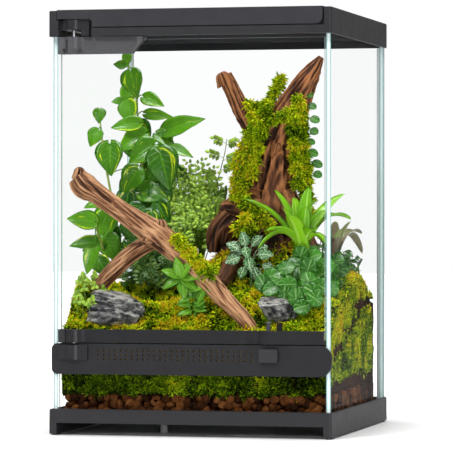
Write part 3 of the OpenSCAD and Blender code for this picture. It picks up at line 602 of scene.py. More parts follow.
@dataclass(frozen=True)
class Plastic:
    """Moulded plastic with a fine spark-eroded grain."""

    name: str
    colour: Colour = (0.016, 0.016, 0.018)
    rough: float = 0.4
    grain: float = 0.00006
    sheen: float = 0.42

    def material(self) -> bpy.types.Material:
        """Return the material."""
        r = Recipe(self.name)
        fine = r.noise(1500, 2)
        wide = r.noise(60, 3)
        shade = tuple(c * 1.5 for c in self.colour)
        colour = r.mix(r.times(wide, 0.6), self.colour, shade)
        colour = r.mix(r.times(r.step(fine, 0.55, 0.8), 0.35), colour, tuple(c * 2.4 for c in self.colour))
        rough = r.plus(r.times(wide, 0.16), self.rough - 0.08)
        shader = r.principled({"Base Color": colour, "Roughness": rough, "Specular IOR Level": self.sheen,
                               "Normal": r.bump(fine, self.grain)})
        return r.finish(shader)


@dataclass(frozen=True)
class Pane:
    """Float glass: clear through its faces, green towards its cut edges, with painted light in the middle of
    each cut edge.
    """

    name: str
    axis: int
    thick: float
    start: float
    shine: float = 0.3
    tint: Colour = (0.993, 0.998, 0.997)

    def material(self) -> bpy.types.Material:
        """Return the material."""
        r = Recipe(self.name)
        geometry = r.add("ShaderNodeNewGeometry")
        own = r.add("ShaderNodeVectorTransform", {0: geometry.outputs["True Normal"]}, vector_type="NORMAL",
                    convert_from="WORLD", convert_to="OBJECT")
        normal = r.split(own.outputs[0], self.axis)
        edge = r.maths("LESS_THAN", r.maths("ABSOLUTE", normal), 0.7)
        where = r.split(r.place(), self.axis)
        share = r.maths("DIVIDE", r.less(where, self.start), self.thick)
        # The green is the glass's own colour. The pale band in the middle of each cut edge and the pale
        # streaks mixed in below are painted light, standing for light carried through the glass.
        green = [(0.0, (0.05, 0.17, 0.17)), (0.18, (0.2, 0.4, 0.4)), (0.34, (0.66, 0.75, 0.75)),
                 (0.68, (0.64, 0.73, 0.73)), (0.84, (0.24, 0.46, 0.45)), (1.0, (0.06, 0.2, 0.2))]
        streak = r.noise(40, 2, r.stretch(r.place(), (1, 1, 0.2)))
        cut = r.mix(r.times(streak, 0.25), r.ramp(share, green), (0.8, 0.88, 0.86))
        face = r.add("ShaderNodeMixShader", {
            0: r.times(r.less(r.add("ShaderNodeFresnel", {"IOR": 1.5}).outputs[0], 0.042,
                                           True), self.shine),
            1: r.add("ShaderNodeBsdfTransparent", {"Color": (*self.tint, 1)}).outputs[0],
            2: r.add("ShaderNodeBsdfGlossy", {"Color": (1, 1, 1, 1), "Roughness": 0.02}).outputs[0],
        }).outputs[0]
        side = r.principled({"Base Color": cut, "Roughness": 0.15, "Coat Weight": 0.3})
        return r.finish(r.add("ShaderNodeMixShader", {0: edge, 1: face, 2: side}).outputs[0])


@dataclass(frozen=True)
class Metal:
    """Drawn metal with fine lines."""

    name: str
    colour: Colour = (0.62, 0.62, 0.64)
    rough: float = 0.28

    def material(self) -> bpy.types.Material:
        """Return the material."""
        r = Recipe(self.name)
        lines = r.noise(2200, 2, r.stretch(r.place(), (1, 1, 0.06)))
        colour = r.mix(lines, tuple(c * 0.75 for c in self.colour), self.colour)
        rough = r.plus(r.times(lines, 0.18), self.rough - 0.09)
        shader = r.principled({"Base Color": colour, "Metallic": 1.0, "Roughness": rough,
                               "Normal": r.bump(lines, 0.00002)})
        return r.finish(shader)


@dataclass(frozen=True)
class Rubber:
    """Soft rubber or silicone."""

    name: str
    colour: Colour
    rough: float = 0.7

    def material(self) -> bpy.types.Material:
        """Return the material."""
        r = Recipe(self.name)
        haze = r.noise(400, 3)
        pale = tuple(min(1, c * 1.15) for c in self.colour)
        colour = r.mix(haze, tuple(c * 0.8 for c in self.colour), pale)
        rough = r.plus(r.times(haze, 0.2), self.rough - 0.1)
        normal = r.bump(haze, 0.00004)
        return r.finish(r.principled({"Base Color": colour, "Roughness": rough, "Normal": normal}))


@dataclass(frozen=True)
class Grains:
    """Pebbles, peat and stone: broken colour with pits."""

    name: str
    stops: tuple[tuple[float, Colour], ...]
    scale: float
    pits: float
    rough: float = 0.85
    painted_top_light: float = 0.0

    def material(self) -> bpy.types.Material:
        """Return the material."""
        r = Recipe(self.name)
        broad, fine = r.noise(self.scale, 5), r.noise(self.scale * 6, 3)
        mixed = r.plus(r.times(broad, 0.55), r.times(r.tone(), 0.45))
        value = r.plus(mixed, r.times(r.less(fine, 0.5), 0.4))
        # Painted light: faces that point up are made lighter.
        if self.painted_top_light:
            up = r.split(r.add("ShaderNodeNewGeometry").outputs["Normal"], 2)
            value = r.plus(value, r.times(r.step(up, 0.1, 0.9), self.painted_top_light))
        colour = r.ramp(value, self.stops)
        height = r.plus(broad, r.times(fine, 0.5))
        return r.finish(r.principled({
            "Base Color": colour, "Roughness": self.rough, "Specular IOR Level": 0.06,
            "Normal": r.bump(height, self.pits)}))


@dataclass(frozen=True)
class Wood:
    """Weathered driftwood: streaks along the grain, painted shade in its grooves and a painted highlight on
    its crests.
    """

    name: str
    deep: Colour
    body: Colour
    crest_highlight: Colour
    painted_shade_below: float = 0.0

    def material(self) -> bpy.types.Material:
        """Return the material."""
        r = Recipe(self.name)
        turn, walk = r.blade()
        grain = r.add("ShaderNodeCombineXYZ", {
            0: r.maths("COSINE", r.times(turn, math.tau)),
            1: r.maths("SINE", r.times(turn, math.tau)),
            2: r.times(walk, 0.35)}).outputs[0]
        streak = r.noise(9, 6, grain, 0.7)
        patch = r.noise(38, 3)
        # Low tone lies in the carved grooves and high tone on the ridges. The deep colour in the grooves is
        # painted shade and the crest colour on the ridges a painted highlight, both over the wood's own brown
        # body.
        height = r.plus(r.times(r.tone(), 0.75), r.times(streak, 0.42))
        colour = r.ramp(height, ((0.24, self.deep), (0.5, self.body), (0.84, self.crest_highlight)))
        colour = r.mix(r.times(patch, 0.35), colour, self.body)
        # Painted shade: below this height the wood is darkened towards the deep colour.
        if self.painted_shade_below:
            height = r.split(r.place(), 2)
            low = r.less(1.0, r.step(height, self.painted_shade_below - 0.05, self.painted_shade_below))
            colour = r.mix(r.times(low, 0.6), colour, self.deep)
        normal = r.bump(r.plus(streak, r.times(r.noise(900, 3), 0.3)), 0.0012)
        return r.finish(r.principled({"Base Color": colour, "Roughness": 0.68, "Specular IOR Level": 0.25,
                                      "Normal": normal}))


class Veins(Enum):
    """How a leaf is marked."""

    PLAIN = "plain"
    SPLASHED = "splashed"
    NETTED = "netted"
    RADIAL = "radial"
    RIBBED = "ribbed"


@dataclass(frozen=True)
class Leaf:
    """Living leaf, with its veins drawn from its own map."""

    name: str
    deep: Colour
    light: Colour
    vein: Colour
    veins: Veins = Veins.PLAIN
    rough: float = 0.35
    rib: float = 0.05

    def material(self) -> bpy.types.Material:
        """Return the material."""
        r = Recipe(self.name)
        along, across = r.blade()
        off = r.maths("ABSOLUTE", r.less(across, 0.5))
        cloud = r.noise(90, 3)
        share = r.plus(r.times(cloud, 0.5), r.less(r.tone(), 0.25), True)
        colour = r.mix(share, self.deep, self.light)
        if self.veins is Veins.RIBBED:
            wave = r.maths("SINE", r.times(across, 60.0))
        elif self.veins is Veins.RADIAL:
            turn = r.maths("ARCTAN2", r.less(across, 0.5), r.less(along, 0.42))
            wave = r.maths("SINE", r.times(turn, 8.0))
        else:
            wave = r.maths("SINE", r.times(r.less(along, r.times(off, 0.7)), 6.5 * math.tau))
        lines = r.step(wave, 0.72, 0.98)
        rib = r.less(1.0, r.step(off, self.rib * 0.4, self.rib))
        if self.veins is Veins.SPLASHED:
            lane = r.add("ShaderNodeCombineXYZ", {0: r.times(along, 1.1),
                                                  1: r.times(across, 6.0),
                                                  2: r.times(r.tone(), 31.0)}).outputs[0]
            spot = r.plus(r.noise(1.0, 3, lane, 0.6), r.times(off, 0.2))
            splash = r.step(spot, 0.66, 0.74)
            colour = r.mix(splash, colour, self.vein)
            colour = r.mix(r.times(lines, 0.2), colour, self.light)
            colour = r.mix(r.times(rib, 0.5), colour, self.light)
        elif self.veins is Veins.NETTED:
            sockets = {"Vector": r.place(), "Scale": 380}
            cells = r.add("ShaderNodeTexVoronoi", sockets, feature="DISTANCE_TO_EDGE")
            net = r.less(1.0, r.step(cells.outputs["Distance"], 0.02, 0.07))
            pale = r.maths("MAXIMUM", net, rib)
            colour = r.mix(r.times(pale, 0.85), colour, self.vein)
        else:
            colour = r.mix(r.times(lines, 0.5 if self.veins is Veins.RADIAL else 0.28), colour, self.vein)
            colour = r.mix(r.times(rib, 0.7), colour, self.vein)
        height = r.plus(r.times(r.plus(lines, rib), -0.6), cloud)
        rough = r.plus(r.times(cloud, 0.15), self.rough - 0.07)
        return r.finish(r.principled({
            "Base Color": colour, "Roughness": rough, "Specular IOR Level": 0.4,
            "Normal": r.bump(height, 0.0003),
            "Subsurface Weight": 0.12, "Subsurface Radius": (0.002, 0.004, 0.001)}))


@dataclass(frozen=True)
class MossFinish:
    """Moss: each sprig takes its colour from its tone."""

    name: str
    stops: tuple[tuple[float, Colour], ...]

    def material(self) -> bpy.types.Material:
        """Return the material."""
        r = Recipe(self.name)
        speck = r.noise(500, 2)
        value = r.plus(r.tone(), r.times(r.less(speck, 0.5), 0.35))
        colour = r.ramp(value, self.stops)
        return r.finish(r.principled({"Base Color": colour, "Roughness": 0.8, "Specular IOR Level": 0.03,
                                      "Normal": r.bump(speck, 0.0008)}))


# Tone added at the foot, middle and tip of every moss blade: painted shade at the foot, painted light at the
# tip.
FOOT_SHADE_TIP_LIGHT = np.array([-0.45, -0.02, 0.16])
MOSS_STOPS = (
    (0.0, (0.01, 0.005, 0.001)), (0.14, (0.013, 0.026, 0.001)), (0.4, (0.075, 0.16, 0.003)),
    (0.62, (0.25, 0.42, 0.005)), (0.82, (0.56, 0.68, 0.008)), (0.93, (0.78, 0.76, 0.015)),
    (1.0, (0.62, 0.36, 0.012)))


# Sub-assemblies


@dataclass
class Enclosure:
    """Frames, panes, hinges, door, latch and lid: solids that keep their shape and get a finish."""

    pane_t: float = 5 * MM
    door_t: float = 4 * MM
    wire: float = 0.45 * MM
    lid_pitch: float = 2.4 * MM
    vent_pitch: float = 1.1 * MM
    face_shine: float = 0.4
    side_shine: float = 0.05

    def dress(self, frame: dict) -> None:
        """Give every rigid solid its finish and weave both screens.
        """
        # The plastic parts below are all one black plastic. Each part's colour is set to how bright that part
        # shows under the lamps, so the differences between them are painted light and shade. The largest is
        # the light grey of the door's top bracket, a painted reflection of a lamp on its flat face.
        finishes = {
            "base_frame": Plastic("base plastic", (0.0165, 0.0165, 0.019)),
            "top_frame": Plastic("top plastic", (0.0145, 0.0145, 0.017)),
            "lid_frame": Plastic("lid plastic", (0.019, 0.019, 0.023)),
            "vent_panel": Plastic("vent plastic", (0.0105, 0.0105, 0.0125)),
            "latch_keeper": Plastic("keeper plastic", (0.02, 0.02, 0.023)),
            "upper_hinge_block": Plastic("upper hinge plastic", (0.011, 0.011, 0.013), 0.38),
            "lower_hinge_block": Plastic("lower hinge plastic", (0.011, 0.011, 0.013), 0.38),
            "door_rail": Plastic("rail plastic", (0.0088, 0.0088, 0.0105), 0.36),
            "door_top_bracket": Plastic("bracket plastic", (0.047, 0.047, 0.052), 0.4),
            "latch_pin": Plastic("latch plastic", (0.03, 0.031, 0.036), 0.34),
            "foot_pads": Rubber("foot rubber", (0.02, 0.02, 0.02)),
            "support_pad": Rubber("peg grey", (0.45, 0.45, 0.45)),
            "latch_buffer": Rubber("buffer rubber", (0.008, 0.008, 0.008)),
            "silicone_seams": Rubber("clear silicone", (0.62, 0.65, 0.66), 0.35),
            "upper_hinge_pin": Metal("pin steel"),
            "lower_hinge_pin": Metal("lower pin steel"),
            "lid_hinge_pins": Metal("lid pin steel"),
        }
        for node, axis, thick in (("left_glass", 0, self.pane_t), ("right_glass", 0, self.pane_t),
                                  ("back_glass", 1, self.pane_t), ("front_lower_glass", 1, self.door_t),
                                  ("door_glass", 1, self.door_t), ("bottom_glass", 2, self.pane_t)):
            finishes[node] = Pane(node.replace("_", " "), axis, thick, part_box(node)[0][axis],
                                  self.side_shine if axis == 0 else self.face_shine)
        for node, finish in finishes.items():
            piece = frame["nodes"][node]
            piece.data.materials.clear()
            piece.data.materials.append(finish.material())
            LOG.info("%s: finished as %s", node, finish.name)
        self.weave("lid_mesh", "lid_screen", "lid", "mesh_steel", Metal("mesh steel", (0.3, 0.3, 0.31), 0.4),
                   2, self.lid_pitch)
        self.weave("vent_mesh", "vent_screen", "tank", "mesh_brass",
                   Metal("mesh brass", (0.5, 0.34, 0.17), 0.35), 1, self.vent_pitch)

    def weave(
        self, name: str, node: str, body: str, slot: str, finish: Metal, axis: int, pitch: float
    ) -> None:
        """Weave a fine wire mesh in the space of a screen.

        Args:
            name: The new piece's name.
            node: The screen's solid.
            body: The body it rides on.
            slot: The material slot; not used.
            finish: The wire's metal.
            axis: The axis that the screen faces along.
            pitch: Distance between wires.
        """
        low, high = (np.array(c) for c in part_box(node))
        across = [k for k in range(3) if k != axis]
        middle = (low[axis] + high[axis]) / 2
        half = min(self.wire, pitch * 0.35) / 2
        skin = Skin()
        for turn, (run, step) in enumerate((across, across[::-1])):
            rows = int((high[step] - low[step]) / pitch)
            for k in range(rows + 1):
                at = low[step] + half + (high[step] - low[step] - 2 * half) * k / rows
                end = np.zeros((2, 4, 3))
                for i, (a, b) in enumerate(((-1, -1), (1, -1), (1, 1), (-1, 1))):
                    end[:, i, step] = at + a * half
                    end[:, i, axis] = middle + (turn - 0.5) * half * 2 + b * half
                end[0, :, run], end[1, :, run] = low[run], high[run]
                skin.rings(end)
        for low_side in (True, False):
            for run, step in (across, across[::-1]):
                rim = np.zeros((2, 4, 3))
                wide = 2 * MM if axis == 2 else 0.8 * MM
                edge = low[step] if low_side else high[step] - wide
                for i, (a, b) in enumerate(((0, -1), (1, -1), (1, 1), (0, 1))):
                    rim[:, i, step] = edge + a * wide
                    rim[:, i, axis] = middle + b * min(0.3 * MM, (high[axis] - low[axis]) / 2)
                rim[0, :, run], rim[1, :, run] = low[run], high[run]
                skin.rings(rim)
        piece = skin.build(name, finish.material())
        piece.data.polygons.foreach_set("use_smooth", [False] * len(piece.data.polygons))
        place(piece, body, slot, node)


@dataclass
class Substrate:
    """Clay pebbles, peat and the moss on them."""

    x_limit: float = 145.0 * MM
    front: float = -133.2 * MM
    back: float = 112 * MM
    floor: float = 21.4 * MM
    pebble_top: float = 43 * MM
    pebble_r: float = 5.2 * MM
    pebble_rows: int = 3
    carpet_sprig: float = 8.5 * MM
    wall_sprig: float = 6.5 * MM
    bank_sprigs: int = 420
    blades: int = 5
    moss_sprigs: int = 13000
    wall_sprigs: int = 13000
    rng: np.random.Generator = field(default_factory=lambda: np.random.default_rng(11))

    def dress(self) -> None:
        """Build the three layers."""
        self.pebbles()
        self.peat()
        self.moss()

    def pebbles(self) -> None:
        """Pack rough clay pebbles against the panes and over the floor."""
        import bmesh

        ball = bmesh.new()
        bmesh.ops.create_icosphere(ball, subdivisions=3, radius=1)
        shape = np.array([v.co[:] for v in ball.verts])
        faces = np.array([[v.index for v in f.verts] for f in ball.faces])
        ball.free()
        skin = Skin()
        pitch = self.pebble_r * 1.75
        columns = int(2 * self.x_limit / pitch)
        rows = int((self.back - self.front) / pitch)
        for level in range(self.pebble_rows):
            for i in range(columns + 1):
                for j in range(rows + 1):
                    if 2 < j < rows - 1 and 2 < i < columns - 2:
                        continue
                    r = self.pebble_r * self.rng.uniform(0.72, 1.22)
                    jog = self.rng.uniform(-0.3, 0.3, 3) * pitch
                    at = np.array([
                        -self.x_limit + r + i * pitch + jog[0] + (level % 2) * pitch / 2,
                        self.front + r + j * pitch + jog[1],
                        self.floor + r * 0.9 + level * pitch * 0.72 + jog[2] * 0.4])
                    size = self.rng.uniform(0.82, 1.15, 3)
                    rough = 1 + 0.16 * layered(shape * 1.6 + self.rng.uniform(0, 90), 3, 5)
                    points = shape * rough[:, None] * size * r + at
                    points[:, 0] = np.clip(points[:, 0], -self.x_limit, self.x_limit)
                    points[:, 1] = np.clip(points[:, 1], self.front, self.back + 2 * MM)
                    points[:, 2] = np.clip(points[:, 2], self.floor - 0.3 * MM, None)
                    skin.add(points, [faces], np.zeros((len(points), 2)), self.rng.uniform(0, 1))
        finish = Grains("fired clay", (
            (0.15, (0.006, 0.0025, 0.001)), (0.4, (0.04, 0.013, 0.004)), (0.66, (0.15, 0.052, 0.014)),
            (0.95, (0.3, 0.13, 0.05))), 260, 0.0014, 0.9)
        place(skin.build("clay_pebbles", finish.material()), "tank", "clay_pebbles", "drainage_layer")

    def peat(self) -> None:
        """Build the crumbly block of peat under the moss."""
        skin = Skin()
        n, m = 120, 100
        x = np.linspace(-self.x_limit, self.x_limit, n)
        y = np.linspace(self.front + 5 * MM, self.back, m)
        gx, gy = np.meshgrid(x, y)
        p = np.stack([gx, gy, np.zeros_like(gx)], -1)
        top = pressed(gx, gy, ground(gx, gy) - 7 * MM + 2.4 * MM * layered(p / (8 * MM), 3, 3))
        skin.grid(np.stack([gx, gy, top], -1), 0.5)
        low = self.pebble_top - 3 * MM
        levels = np.linspace(0, 1, 40)
        for wall in range(4):
            line = (np.stack([x, np.full(n, y[0])], 1), np.stack([np.full(m, x[-1]), y], 1),
                    np.stack([x[::-1], np.full(n, y[-1])], 1), np.stack([np.full(m, x[0]), y[::-1]], 1))[wall]
            edge = (top[0], top[:, -1], top[-1, ::-1], top[::-1, 0])[wall]
            out = np.array([[0, -1.0], [1, 0], [0, 1], [-1, 0]])[wall]
            z = low + (edge[None] - low) * levels[:, None]
            sheet = np.stack(np.broadcast_arrays(line[None, :, 0], line[None, :, 1], z), -1).copy()
            lump = layered(sheet / (7 * MM), 4, 8) * np.sin(levels * math.pi)[:, None]
            depth = {0: 1.5, 1: 1.6, 2: 5.0, 3: 1.6}[wall] * MM
            sheet[..., 0] += out[0] * ((lump - 0.8) * depth - 4 * MM)
            sheet[..., 1] += out[1] * lump * depth
            sheet[..., 0] = np.clip(sheet[..., 0], -self.x_limit, self.x_limit)
            skin.grid(sheet, np.clip(0.45 + 0.5 * lump, 0, 1))
        base = np.stack([gx[::8, ::8], gy[::8, ::8], np.full_like(gx[::8, ::8], low)], -1)
        skin.grid(base, 0.4, True)
        finish = Grains("damp peat", (
            (0.2, (0.006, 0.003, 0.002)), (0.46, (0.04, 0.017, 0.007)), (0.72, (0.14, 0.062, 0.026)),
            (0.95, (0.3, 0.16, 0.08))), 420, 0.0024, 0.95)
        place(skin.build("peat", finish.material()), "tank", "soil", "soil_bed")

    def moss(self) -> None:
        """Lay a lumpy carpet and grow sprigs over its top and against the panes."""
        skin = Skin()
        n, m = 150, 130
        x = np.linspace(-self.x_limit, self.x_limit, n)
        y = np.linspace(self.front, self.back, m)
        gx, gy = np.meshgrid(x, y)
        z = self.surface(gx, gy)
        # The carpet under the sprigs is kept near black: painted shade between the sprigs.
        tone = 0.1 + 0.12 * layered(np.stack([gx, gy, z], -1) / (9 * MM), 3, 2)
        skin.grid(np.stack([gx, gy, z], -1), tone)
        drop = np.linspace(0, 1, 26)[:, None]
        low = self.pebble_top - 1 * MM
        fall = low + (z[0][None] - low) * drop
        wall = np.stack(np.broadcast_arrays(x[None], np.full(n, self.front)[None], fall), -1).copy()
        wall[..., 1] += 1.6 * MM + 1.4 * MM * layered(wall / (6 * MM), 3, 4)
        # The moss against the front pane is kept near black: painted shade.
        skin.grid(wall, 0.04 + 0.1 * layered(wall / (10 * MM), 2, 6))
        base = self.soft_points(self.moss_sprigs)
        # Sprigs on the clumps, which also raise the surface, are lighter and those in the hollows darker:
        # painted light and shade.
        bright = 0.04 + 0.4 * self.clumps(base[:, 0], base[:, 1])
        self.sprigs(skin, base, self.slope(base), self.carpet_sprig, 0.85, bright)
        base, normal = self.pane_points()
        # Sprigs on the side panes get lighter towards the top, which is painted light. Those on the front
        # pane are darkened, which is painted shade.
        high = 0.02 + 0.16 * smooth((base[:, 2] - 85 * MM) / (45 * MM))
        self.sprigs(skin, base, normal, self.wall_sprig, 0.6, np.where(normal[:, 1] < -0.3, -0.2, high))
        x = self.rng.uniform(56 * MM, 122 * MM, self.bank_sprigs)
        y = self.rng.uniform(-131 * MM, -118 * MM, self.bank_sprigs)
        bank = np.stack([x, y, ground(x, y) + self.rng.uniform(-3, 4, self.bank_sprigs) * MM], -1)
        self.sprigs(skin, bank, self.slope(bank), 7 * MM, 0.7, 0.12)
        place(skin.build("moss", MossFinish("living moss", MOSS_STOPS).material()), "tank", "moss",
              "moss_carpet", "moss_front", "moss_tufts")

    def surface(self, x: Array, y: Array) -> Array:
        """Return the height of the lumpy moss at x, y."""
        p = np.stack([x, y, np.zeros_like(x)], -1)
        lumps = layered(p / (26 * MM), 2, 21) * 4 * MM + self.clumps(x, y) * 3.4 * MM
        fade = smooth((y - self.front) / (10 * MM))
        return pressed(x, y, ground(x, y) + lumps * fade - 2.5 * MM)

    def clumps(self, x: Array, y: Array) -> Array:
        """Return the small clumps of the moss at x, y, from about -1 to 1."""
        return layered(np.stack([x, y, np.zeros_like(x)], -1) / (11 * MM), 2, 22)

    def soft_points(self, count: int) -> Array:
        """Return random points on the moss surface."""
        x = self.rng.uniform(-self.x_limit + 1 * MM, self.x_limit - 1 * MM, count)
        y = self.front + (self.back - self.front) * self.rng.uniform(0, 1, count) ** 1.25
        return np.stack([x, y, self.surface(x, y)], -1)

    def slope(self, p: Array) -> Array:
        """Return the surface normal at points on the moss."""
        d = 2 * MM
        dx = (self.surface(p[:, 0] + d, p[:, 1]) - self.surface(p[:, 0] - d, p[:, 1])) / (2 * d)
        dy = (self.surface(p[:, 0], p[:, 1] + d) - self.surface(p[:, 0], p[:, 1] - d)) / (2 * d)
        return unit(np.stack([-dx, -dy, np.ones_like(dx)], -1))

    def pane_points(self) -> tuple[Array, Array]:
        """Return points where moss presses on the front and side panes, with their normals."""
        count = self.wall_sprigs
        share = self.rng.uniform(0, 1, count)
        front = share < 0.45
        x = np.where(front, self.rng.uniform(-1, 1, count) * (self.x_limit - 2 * MM),
                     np.where(share < 0.78, 1, -1) * (self.x_limit - self.rng.uniform(1, 5.5, count) * MM))
        along = self.rng.uniform(0, 1, count)
        y = np.where(front, self.front + 2.4 * MM, self.front + (self.back - self.front) * along)
        top = self.surface(x, y)
        deep = self.rng.uniform(0, 1, count)
        ragged = layered(np.stack([x, y, 0 * x], -1) / (13 * MM), 3, 14) * 3.5 * MM
        z = top - (top - self.pebble_top - ragged) * deep
        # a bare band of peat runs down the side walls, and another lies along their foot
        ripple = 0.12 * layered(np.stack([y, z, 0 * z], -1) / (16 * MM), 2, 9)
        keep = front | ((np.abs(deep - (0.62 - 0.5 * along) + ripple) > 0.1) & (deep < 0.84))
        normal = np.where(front[:, None], FRONT[None], np.stack([np.sign(x), 0 * x, 0 * x], -1))
        return np.stack([x, y, z], -1)[keep], unit(normal * 0.6 + UP * 0.6)[keep]

    def sprigs(self, skin: Skin, base: Array, normal: Array, size: float, spread: float,
               bright: Array | float = 0.0) -> None:
        """Grow a feathery sprig at each point.

        Args:
            skin: The mesh they go into.
            base: Foot of each sprig.
            normal: Direction that each sprig grows in.
            size: Length of the longest blades.
            spread: How far the blades lean away from the normal.
            bright: What is added to the tone, one value or one for each point; besides random tone it carries
                painted light and shade.
        """
        blades, count = self.blades, len(base)
        patch = layered(base / (18 * MM), 3, 31)
        foot = np.repeat(base, blades, 0) + self.rng.normal(0, 1.0 * MM, (count * blades, 3))
        grow = unit(np.repeat(normal, blades, 0) + self.rng.normal(0, spread, (count * blades, 3)))
        length = size * self.rng.uniform(0.45, 1.1, count * blades)
        tone = np.repeat(0.62 + 0.32 * patch + bright + self.rng.normal(0, 0.12, count), blades)
        tone += self.rng.normal(0, 0.09, count * blades)
        side = unit(np.cross(grow, self.rng.normal(0, 1, (count * blades, 3))))
        lift = np.cross(side, grow)
        half = length * self.rng.uniform(0.09, 0.19, count * blades)
        shares = np.array([0, 0.55, 1.0])
        widths = np.array([0.6, 1.0, 0.12])
        bend = np.array([0, 0.1, 0.34])
        ring = np.zeros((count * blades, 3, 3, 3))
        for k in range(3):
            centre = foot + grow * (length * shares[k])[:, None] - UP * (length * bend[k])[:, None] * 0.5
            w = (half * widths[k])[:, None]
            ring[:, k, 0] = centre - side * w
            ring[:, k, 1] = centre + side * w
            ring[:, k, 2] = centre + lift * w * 0.5
        ring[..., 0] = np.clip(ring[..., 0], -self.x_limit, self.x_limit)
        ring[..., 1] = np.clip(ring[..., 1], self.front, None)
        ring = swung_clear(ring)
        offset = (np.arange(count * blades) * 9)[:, None, None]
        quads = np.array([[k * 3 + i, k * 3 + (i + 1) % 3, k * 3 + 3 + (i + 1) % 3, k * 3 + 3 + i]
                          for k in range(2) for i in range(3)])
        ends = np.array([[2, 1, 0], [6, 7, 8]])
        faces = [(quads[None] + offset).reshape(-1, 4), (ends[None] + offset).reshape(-1, 3)]
        # Each blade is darker at its foot and lighter at its tip: painted shade and light.
        tones = np.clip(tone[:, None] + FOOT_SHADE_TIP_LIGHT[None], 0, 1).repeat(3, 1).ravel()
        skin.add(ring.reshape(-1, 3), faces, np.zeros((count * blades * 9, 2)), tones)


